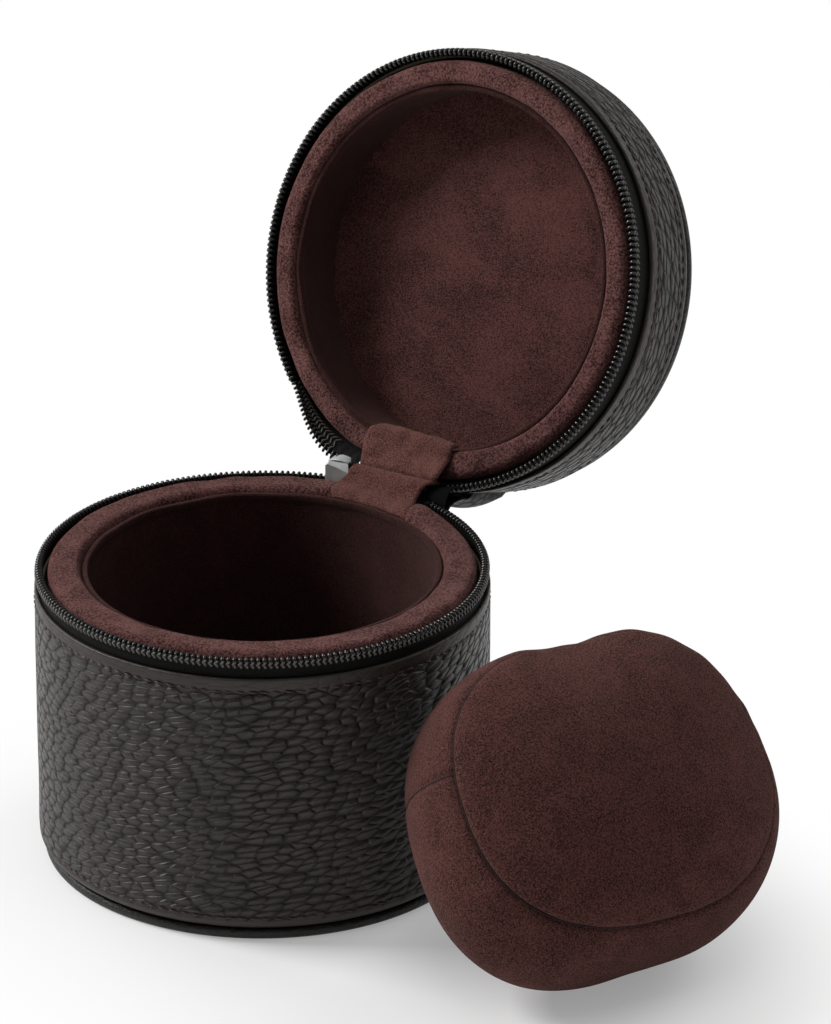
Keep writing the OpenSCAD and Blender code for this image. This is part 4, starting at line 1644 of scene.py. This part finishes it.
@dataclass
class Slider:
    """Zip slider: two lipped plates over the rows, a post between the rows, and a bail with its pull."""

    case: CaseFrame
    row_r: float = 49.1
    plate_in: tuple[float, float] = (47.3, 48.0)
    plate_out: tuple[float, float] = (50.2, 51.1)
    slot_half: float = 0.25
    lip: float = 0.38
    stations: tuple[tuple[float, float, float, float, bool], ...] = (
        (-3.9, 1.4, -3.9, 2.2, False),
        (-3.3, 1.6, -3.2, 3.1, False),
        (-2.8, 1.75, -2.5, 3.85, True),
        (-0.5, 2.5, -0.8, 4.25, True),
        (1.6, 3.15, 1.3, 3.65, True),
        (2.3, 2.7, 2.4, 2.7, False),
    )

    def build(self) -> None:
        """Build the body, and dress bail and pull."""
        middle = math.degrees(math.atan2(*self.centre()[::-1]))
        parts = []
        span = self.plate_out[1] - self.plate_in[0]
        for is_inner in (True, False):
            face, inside = self.plate_in if is_inner else self.plate_out[::-1]
            rows = []
            for along_in, high_in, along_out, high_out, lipped in self.stations:
                along = along_in if is_inner else along_out
                high, other = (high_in, high_out) if is_inner else (high_out, high_in)
                reach = self.row_r + (-self.slot_half if is_inner else self.slot_half) if lipped else inside
                at_slot = high + (other - high) * abs(reach - face) / span
                if lipped:
                    at_slot = max(at_slot, 3.2 if is_inner else 3.1)
                under = high + (at_slot - high) * abs(inside - face) / max(abs(reach - face), 0.1)
                half = [(face, high), (reach, at_slot)]
                half += [(reach, at_slot - self.lip), (inside, under - self.lip)]
                rows.append([(r, along, z) for r, z in half + [(r, -z) for r, z in reversed(half)]])
            grid = np.array(rows)
            faces = list(grid_faces(len(rows), 8, False, True))
            faces += [tuple(range(8)), tuple(range((len(rows) - 1) * 8, len(rows) * 8))]
            parts.append((grid.reshape(-1, 3), faces))
        corners = [(r, l, z) for r in (47.9, 50.3) for l, z in ((0.2, 0.0), (2.3, 0.42), (2.3, -0.42))]
        parts.append((np.array(corners), [(0, 1, 2), (5, 4, 3), (0, 3, 4, 1), (1, 4, 5, 2), (2, 5, 3, 0)]))
        points, faces, start = [], [], 0
        for part_points, part_faces in parts:
            radius, along, high = part_points.T
            angle = math.radians(middle) + along / self.row_r
            height = self.case.rim + high
            points.append(np.column_stack([radius * np.cos(angle), radius * np.sin(angle), height]))
            faces += [tuple(start + k for k in face) for face in part_faces]
            start += len(part_points)
        body = make_piece("slider_body", np.vstack(points), faces, SLIDER_METAL, 35)
        bevel = body.modifiers.new("worn_edges", "BEVEL")
        bevel.width, bevel.segments, bevel.limit_method = 0.12 * MM, 2, "ANGLE"
        bevel.angle_limit = math.radians(40)
        settle(body, "slider", "metal", "zip_slider")
        for name in ("zip_bail", "zip_pull"):
            redress(self.case.nodes[name], SLIDER_METAL)

    def centre(self) -> tuple[float, float]:
        """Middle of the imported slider, seen from above, in millimetres."""
        low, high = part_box("zip_slider")
        return (low[0] + high[0]) / 2 / MM, (low[1] + high[1]) / 2 / MM


@dataclass
class Cushion:
    """The loose cushion: a band between two crowned panels, full, with its seams drawn in."""

    case: CaseFrame
    side_half: float = 36.4
    slope_half: float = 33.2
    band_half: float = 14.0
    crown: float = 10.8
    swell: float = 4.6
    oval: float = 2.35
    dome: float = 2.5
    tilt: float = 46.0
    turn: float = -27.0
    cover_t: float = 1.2
    seam_depth: float = 0.5
    seam_width: float = 1.3
    around: int = 384
    panel_rows: int = 46
    joint: float = 258.0
    joint_depth: float = 0.6
    joint_width: float = 0.9
    thread_depth: float = 0.55
    thread_width: float = 0.4
    lump: float = 0.22
    wrinkle: float = 0.12
    channel_half: float = 10.0
    channel_off: float = 1.0
    channel_least: float = 0.7
    channel_more: float = 1.3
    press: float = 2.4
    press_below: float = 14.0
    contact_soft: float = 1.5
    table_gap: float = 0.02
    reach: float = 34.0
    core_inset: float = 3.2

    def profile(self) -> tuple[np.ndarray, np.ndarray, np.ndarray]:
        """Line from the back's middle to the front's middle.

        Returns:
            Share of the panel's size, share of the band's swell, and height.
        """
        turn = np.linspace(0, math.pi / 2, self.panel_rows)
        share = np.sin(turn) ** (1 / 1.05)
        high = self.band_half + self.crown * np.clip(1 - share**self.dome, 0, 1) ** 0.85
        band = np.sin(np.linspace(-math.pi / 2, math.pi / 2, 61))[1:-1]
        shares = np.concatenate([share, np.ones(len(band)), share[::-1]])
        swells = np.concatenate([0 * share, 1 - band**2, 0 * share])
        highs = np.concatenate([-high, self.band_half * band, high[::-1]])
        return shares, swells, highs

    def centre(self) -> np.ndarray:
        """Middle of the cushion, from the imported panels' boxes."""
        points = self.placed(self.rings()[0].reshape(-1, 3), np.zeros(3))
        panels = ("cushion_band_panel", "cushion_top_panel", "cushion_back_panel")
        boxes = np.array([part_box(name) for name in panels]) / MM
        low, high = boxes[:, 0].min(0), boxes[:, 1].max(0)
        spot = (low + high) / 2 - (points.min(0) + points.max(0)) / 2
        spot[2] = high[2] - points[:, 2].max()
        return spot

    def placed(self, points: np.ndarray, spot: np.ndarray) -> np.ndarray:
        """Tilt the cushion back, turn it and put it in its place."""
        a, b = math.radians(self.tilt), math.radians(self.turn)
        x, y, z = points.T
        lean_x, lean_z = x * math.cos(a) + z * math.sin(a), z * math.cos(a) - x * math.sin(a)
        return np.column_stack(
            [lean_x * math.cos(b) - y * math.sin(b), lean_x * math.sin(b) + y * math.cos(b), lean_z]
        ) + spot

    def rings(self, inset: float = 0.0) -> tuple[np.ndarray, np.ndarray]:
        """Points of the cushion's own form, loop by loop, and the angle of each column."""
        shares, swells, highs = self.profile()
        angles = 2 * math.pi * np.arange(self.around) / self.around
        cos, sin = np.cos(angles), np.sin(angles)
        oval_x = np.sign(cos) * np.abs(cos) ** (2 / self.oval)
        oval_y = np.sign(sin) * np.abs(sin) ** (2 / self.oval)
        # Full where it rests on its lower edge, drawn in where it leans.
        corner = np.exp(-((((angles - math.radians(310)) + math.pi) % (2 * math.pi) - math.pi) / 0.6) ** 2)
        drawn_in = 0.6 * np.clip(-cos, 0, 1) ** 1.2 + 0.1 * np.clip(-sin, 0, 1)
        swell = self.swell * (1 - drawn_in + 1.15 * corner)
        bulge = swells[:, None] * swell[None, :]
        x = ((shares * (self.slope_half - inset))[:, None] + bulge) * oval_x[None, :]
        y = ((shares * (self.side_half - inset))[:, None] + bulge) * oval_y[None, :]
        z = np.repeat((highs * (1 - inset / (self.band_half + self.crown)))[:, None], self.around, axis=1)
        return np.stack([x, y, z], axis=2), angles

    def build(self) -> None:
        """Build the cover's three panels and the foam core."""
        grid, angles = self.rings()
        rows = grid.shape[0]
        normal = np.cross(np.gradient(grid, axis=0), np.roll(grid, -1, axis=1) - np.roll(grid, 1, axis=1))
        length = np.linalg.norm(normal, axis=2)[:, :, None]
        normal = np.where(length > 1e-9, normal / np.maximum(length, 1e-9), np.array([0.0, 0.0, 1.0]))
        outward = np.sign((normal * grid).sum(axis=2, keepdims=True))
        normal = normal * np.where(outward == 0, 1, outward)
        run = np.concatenate([[0], np.cumsum(np.linalg.norm(np.diff(grid[:, 0], axis=0), axis=1))])
        back, front = self.panel_rows - 1, rows - self.panel_rows
        seams = (run[back], run[front])
        flat = grid.reshape(-1, 3)
        wrinkle = waves(flat * np.array([1.0, 1.0, 0.45]), 6.0, 71).reshape(rows, self.around)
        lumps = waves(flat, 30.0, 72).reshape(rows, self.around)
        move = self.lump * lumps
        for seam in seams:
            away = np.abs(run - seam)[:, None]
            move = move - self.seam_depth * np.exp(-((away / self.seam_width) ** 2))
            move = move - self.thread_depth * np.exp(-((away / self.thread_width) ** 2))
            move = move + self.wrinkle * wrinkle * np.exp(-(((away - 2.0) / 2.5) ** 2))
        sideways = grid[:, :, 1]
        channel = np.exp(-((np.abs(sideways - self.channel_off) / self.channel_half) ** 2.5))
        uphill = np.clip(-grid[:, :, 0] / 30.0, 0, 1)
        channel = channel * np.clip(1 - np.exp(-((grid[:, :, 0] / 22.0) ** 2)), 0.1, 1)
        move = move - (self.channel_least + self.channel_more * uphill) * channel
        joint = np.abs(((angles - math.radians(self.joint)) + math.pi) % (2 * math.pi) - math.pi)[None, :]
        on_band = ((run > seams[0]) & (run < seams[1]))[:, None]
        joint_dent = np.exp(-((joint * self.side_half / self.joint_width) ** 2))
        move = move - self.joint_depth * on_band * joint_dent
        spot = self.centre()
        shaped = self.placed((grid + normal * move[:, :, None]).reshape(-1, 3), spot).reshape(grid.shape)
        # Its own weight presses the lowest part flat on the table.
        high, soft = shaped[:, :, 2], self.contact_soft
        high = high - self.press * np.clip(1 - high / self.press_below, 0, 1.2) ** 2
        high = np.where(high < soft, soft * np.exp((high - soft) / soft), high)
        shaped[:, :, 2] = np.maximum(high, self.table_gap)
        middle = shaped.reshape(-1, 3).mean(0)
        pieces = (
            ("cushion_back_suede", slice(0, back + 1), "cushion_back_panel"),
            ("cushion_band_suede", slice(back, front + 1), "cushion_band_panel"),
            ("cushion_front_suede", slice(front, rows), "cushion_top_panel"),
        )
        for name, part, node in pieces:
            outside = shaped[part]
            inside = outside + (middle - outside) * (self.cover_t / self.reach)
            inside[:, :, 2] = np.maximum(inside[:, :, 2], 0.3)
            loops = len(outside)
            points = np.vstack([outside.reshape(-1, 3), inside.reshape(-1, 3)])
            faces = list(grid_faces(loops, self.around, False, True))
            size = loops * self.around
            faces += [tuple(size + k for k in reversed(face)) for face in faces]
            ends = [i for i in (0, loops - 1) if np.ptp(outside[i], axis=0).max() > 1]
            for i in ends:
                for j in range(self.around):
                    a, b = i * self.around + j, i * self.around + (j + 1) % self.around
                    faces.append((a, b, size + b, size + a))
            piece = make_piece(name, points, faces, CUSHION_SUEDE, 80)
            settle(piece, "cushion", "cushion_suede", node)
        # Painted shadow: dark rods along both seams and down the band's joint stand for the shade in them.
        for label, row in (("front", front), ("back", back)):
            line = shaped[row] + 0.12 * (shaped[row] - shaped[row].mean(0)) / self.reach
            points, faces = ring_rod(line, 0.26)
            seam = make_piece(f"cushion_seam_{label}", points, faces, SEAM_SHADOW_ROD)
            settle(seam, "cushion", "cushion_suede")
        column = int(round(self.joint / 360 * self.around)) % self.around
        line = shaped[back + 3 : front - 1 : 3, column]
        points, faces = rod(line, np.full(len(line), 0.2))
        seam = make_piece("cushion_seam_band", points, faces, SEAM_SHADOW_ROD)
        settle(seam, "cushion", "cushion_suede")
        core_grid, _ = self.rings(inset=self.core_inset)
        core = self.placed(core_grid.reshape(-1, 3), spot)
        core[:, 2] = np.maximum(core[:, 2], 1.6)
        faces = list(grid_faces(rows, self.around, False, True))
        piece = make_piece("cushion_foam", core, faces, FOAM)
        settle(piece, "cushion", "foam", "cushion_core")


# Studio


@dataclass(frozen=True)
class Studio:
    """Camera, lamps, floor and surround. The camera repeats the photograph's station."""

    station: tuple[float, float, float] = (723.349, -940.312, 615.952)
    azimuth: float = 35.942
    elevation: float = 24.319
    roll: float = 0.213
    focal_px: float = 5933.18
    long_side_px: float = 1024.0
    sensor: float = 36.0

    def build(self) -> None:
        """Set up everything that isn't the object."""
        self.camera()
        self.lamp("key_left", (-1.0, -0.45, 0.95), 0.5, 16.0)
        self.lamp("left_rear", (-0.95, 0.25, 0.45), 0.7, 2.5)
        self.lamp("right_rear", (0.3, 1.1, 0.7), 0.6, 3.5)
        self.lamp("top", (0.15, -0.05, 1.4), 0.8, 2.5)
        self.floor()
        self.surround()
        bpy.context.scene.view_settings.view_transform = "Standard"

    def camera(self) -> None:
        """Stand the camera where the photograph was taken from."""
        a, e, r = (math.radians(v) for v in (self.azimuth, self.elevation, self.roll))
        back = Vector((math.sin(a) * math.cos(e), -math.cos(a) * math.cos(e), math.sin(e)))
        level = Vector((math.cos(a), math.sin(a), 0.0))
        over = back.cross(level)
        right = level * math.cos(r) + over * math.sin(r)
        up = over * math.cos(r) - level * math.sin(r)
        data = bpy.data.cameras.new("camera")
        data.sensor_width = self.sensor
        data.lens = self.focal_px * self.sensor / self.long_side_px
        data.clip_start, data.clip_end = 0.05, 50.0
        eye = bpy.data.objects.new("camera", data)
        turn = Matrix((right, up, back)).transposed().to_4x4()
        eye.matrix_world = Matrix.Translation(Vector(self.station) * MM) @ turn
        bpy.context.scene.collection.objects.link(eye)
        bpy.context.scene.camera = eye

    def lamp(self, name: str, spot: tuple[float, float, float], size: float, power: float) -> None:
        """Add a soft lamp that faces the object.

        Args:
            name: The lamp's name.
            spot: Where it stands, in metres.
            size: Side of its square face, in metres.
            power: Its power in watts.
        """
        data = bpy.data.lights.new(name, "AREA")
        data.shape, data.size, data.energy = "SQUARE", size, power
        lamp = bpy.data.objects.new(name, data)
        aim = Vector((0.02, 0.02, 0.06)) - Vector(spot)
        turn = aim.to_track_quat("-Z", "Y").to_matrix().to_4x4()
        lamp.matrix_world = Matrix.Translation(Vector(spot)) @ turn
        bpy.context.scene.collection.objects.link(lamp)

    def floor(self) -> None:
        """Pale floor that fades to white away from the object and keeps its shadow."""
        half = 6000.0
        corners = np.array([[-half, -half, 0], [half, -half, 0], [half, half, 0], [-half, half, 0]])
        mesh = bpy.data.meshes.new("floor")
        mesh.from_pydata((corners * MM).tolist(), [], [(0, 1, 2, 3)])
        made = bpy.data.materials.new("floor_paper")
        made.use_nodes = True
        tree = made.node_tree
        shader = tree.nodes["Principled BSDF"]
        shader.inputs["Base Color"].default_value = linear("#fcfcfc")
        shader.inputs["Roughness"].default_value = 0.9
        shader.inputs["Specular IOR Level"].default_value = 0.0
        where = add(tree, "ShaderNodeTexCoord")
        run = (0.075, -0.02, 0.0)
        along = add(
            tree,
            "ShaderNodeVectorMath",
            {0: where.outputs["Object"], 1: tuple(v / (run[0] ** 2 + run[1] ** 2) for v in run)},
            operation="DOT_PRODUCT",
        )
        share = add(tree, "ShaderNodeMapRange", {"Value": along.outputs["Value"]})
        nearest = add(tree, "ShaderNodeVectorMath", {0: run, "Scale": share}, operation="SCALE")
        away = add(
            tree, "ShaderNodeVectorMath", {0: where.outputs["Object"], 1: nearest}, operation="DISTANCE"
        )
        fade = add(
            tree,
            "ShaderNodeMapRange",
            {
                "Value": away.outputs["Value"],
                "From Min": 0.03,
                "From Max": 0.105,
                "To Min": 0.28,
                "To Max": 1.0,
            },
            interpolation_type="SMOOTHSTEP",
        )
        ray = add(tree, "ShaderNodeLightPath")
        seen = add(
            tree,
            "ShaderNodeMath",
            {0: ray.outputs["Is Camera Ray"], 1: ray.outputs["Is Glossy Ray"]},
            operation="MAXIMUM",
        )
        share = add(tree, "ShaderNodeMath", {0: fade, 1: seen}, operation="MULTIPLY")
        glow = add(tree, "ShaderNodeEmission", {"Color": (1.0, 1.0, 1.0, 1.0), "Strength": 1.0})
        mix = add(tree, "ShaderNodeMixShader", {0: share, 1: shader, 2: glow})
        tree.links.new(mix.outputs[0], tree.nodes["Material Output"].inputs["Surface"])
        mesh.materials.append(made)
        floor = bpy.data.objects.new("floor", mesh)
        bpy.context.scene.collection.objects.link(floor)

    def surround(self) -> None:
        """White to the eye, and a plain soft light to everything else, reflections included."""
        world = bpy.data.worlds.new("surround")
        bpy.context.scene.world = world
        world.use_nodes = True
        tree = world.node_tree
        plain = tree.nodes["Background"]
        plain.inputs["Color"].default_value = (1.0, 1.0, 1.0, 1.0)
        plain.inputs["Strength"].default_value = 0.2
        white = add(tree, "ShaderNodeBackground", {"Color": (1.0, 1.0, 1.0, 1.0), "Strength": 1.0})
        ray = add(tree, "ShaderNodeLightPath")
        mix = add(tree, "ShaderNodeMixShader", {0: ray.outputs["Is Camera Ray"], 1: plain, 2: white})
        tree.links.new(mix.outputs[0], tree.nodes["World Output"].inputs["Surface"])


def main() -> None:
    """Build the case in order: studio, two halves, zip, hinge, slider and cushion."""
    logging.basicConfig(level=logging.INFO, format="%(name)s: %(message)s")
    for old in list(bpy.data.objects):
        bpy.data.objects.remove(old)
    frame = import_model()
    Studio().build()
    case = CaseFrame.read(frame)
    for side in Side:
        HalfCase(case, side).build()
    ZipRow(case, Side.BASE, from_hinge=12.0).build()
    ZipRow(case, Side.LID, from_hinge=46.0).build()
    ZipBend(case).build()
    Hinge(case).build()
    Slider(case).build()
    Cushion(case).build()


if __name__ == "__main__":
    main()
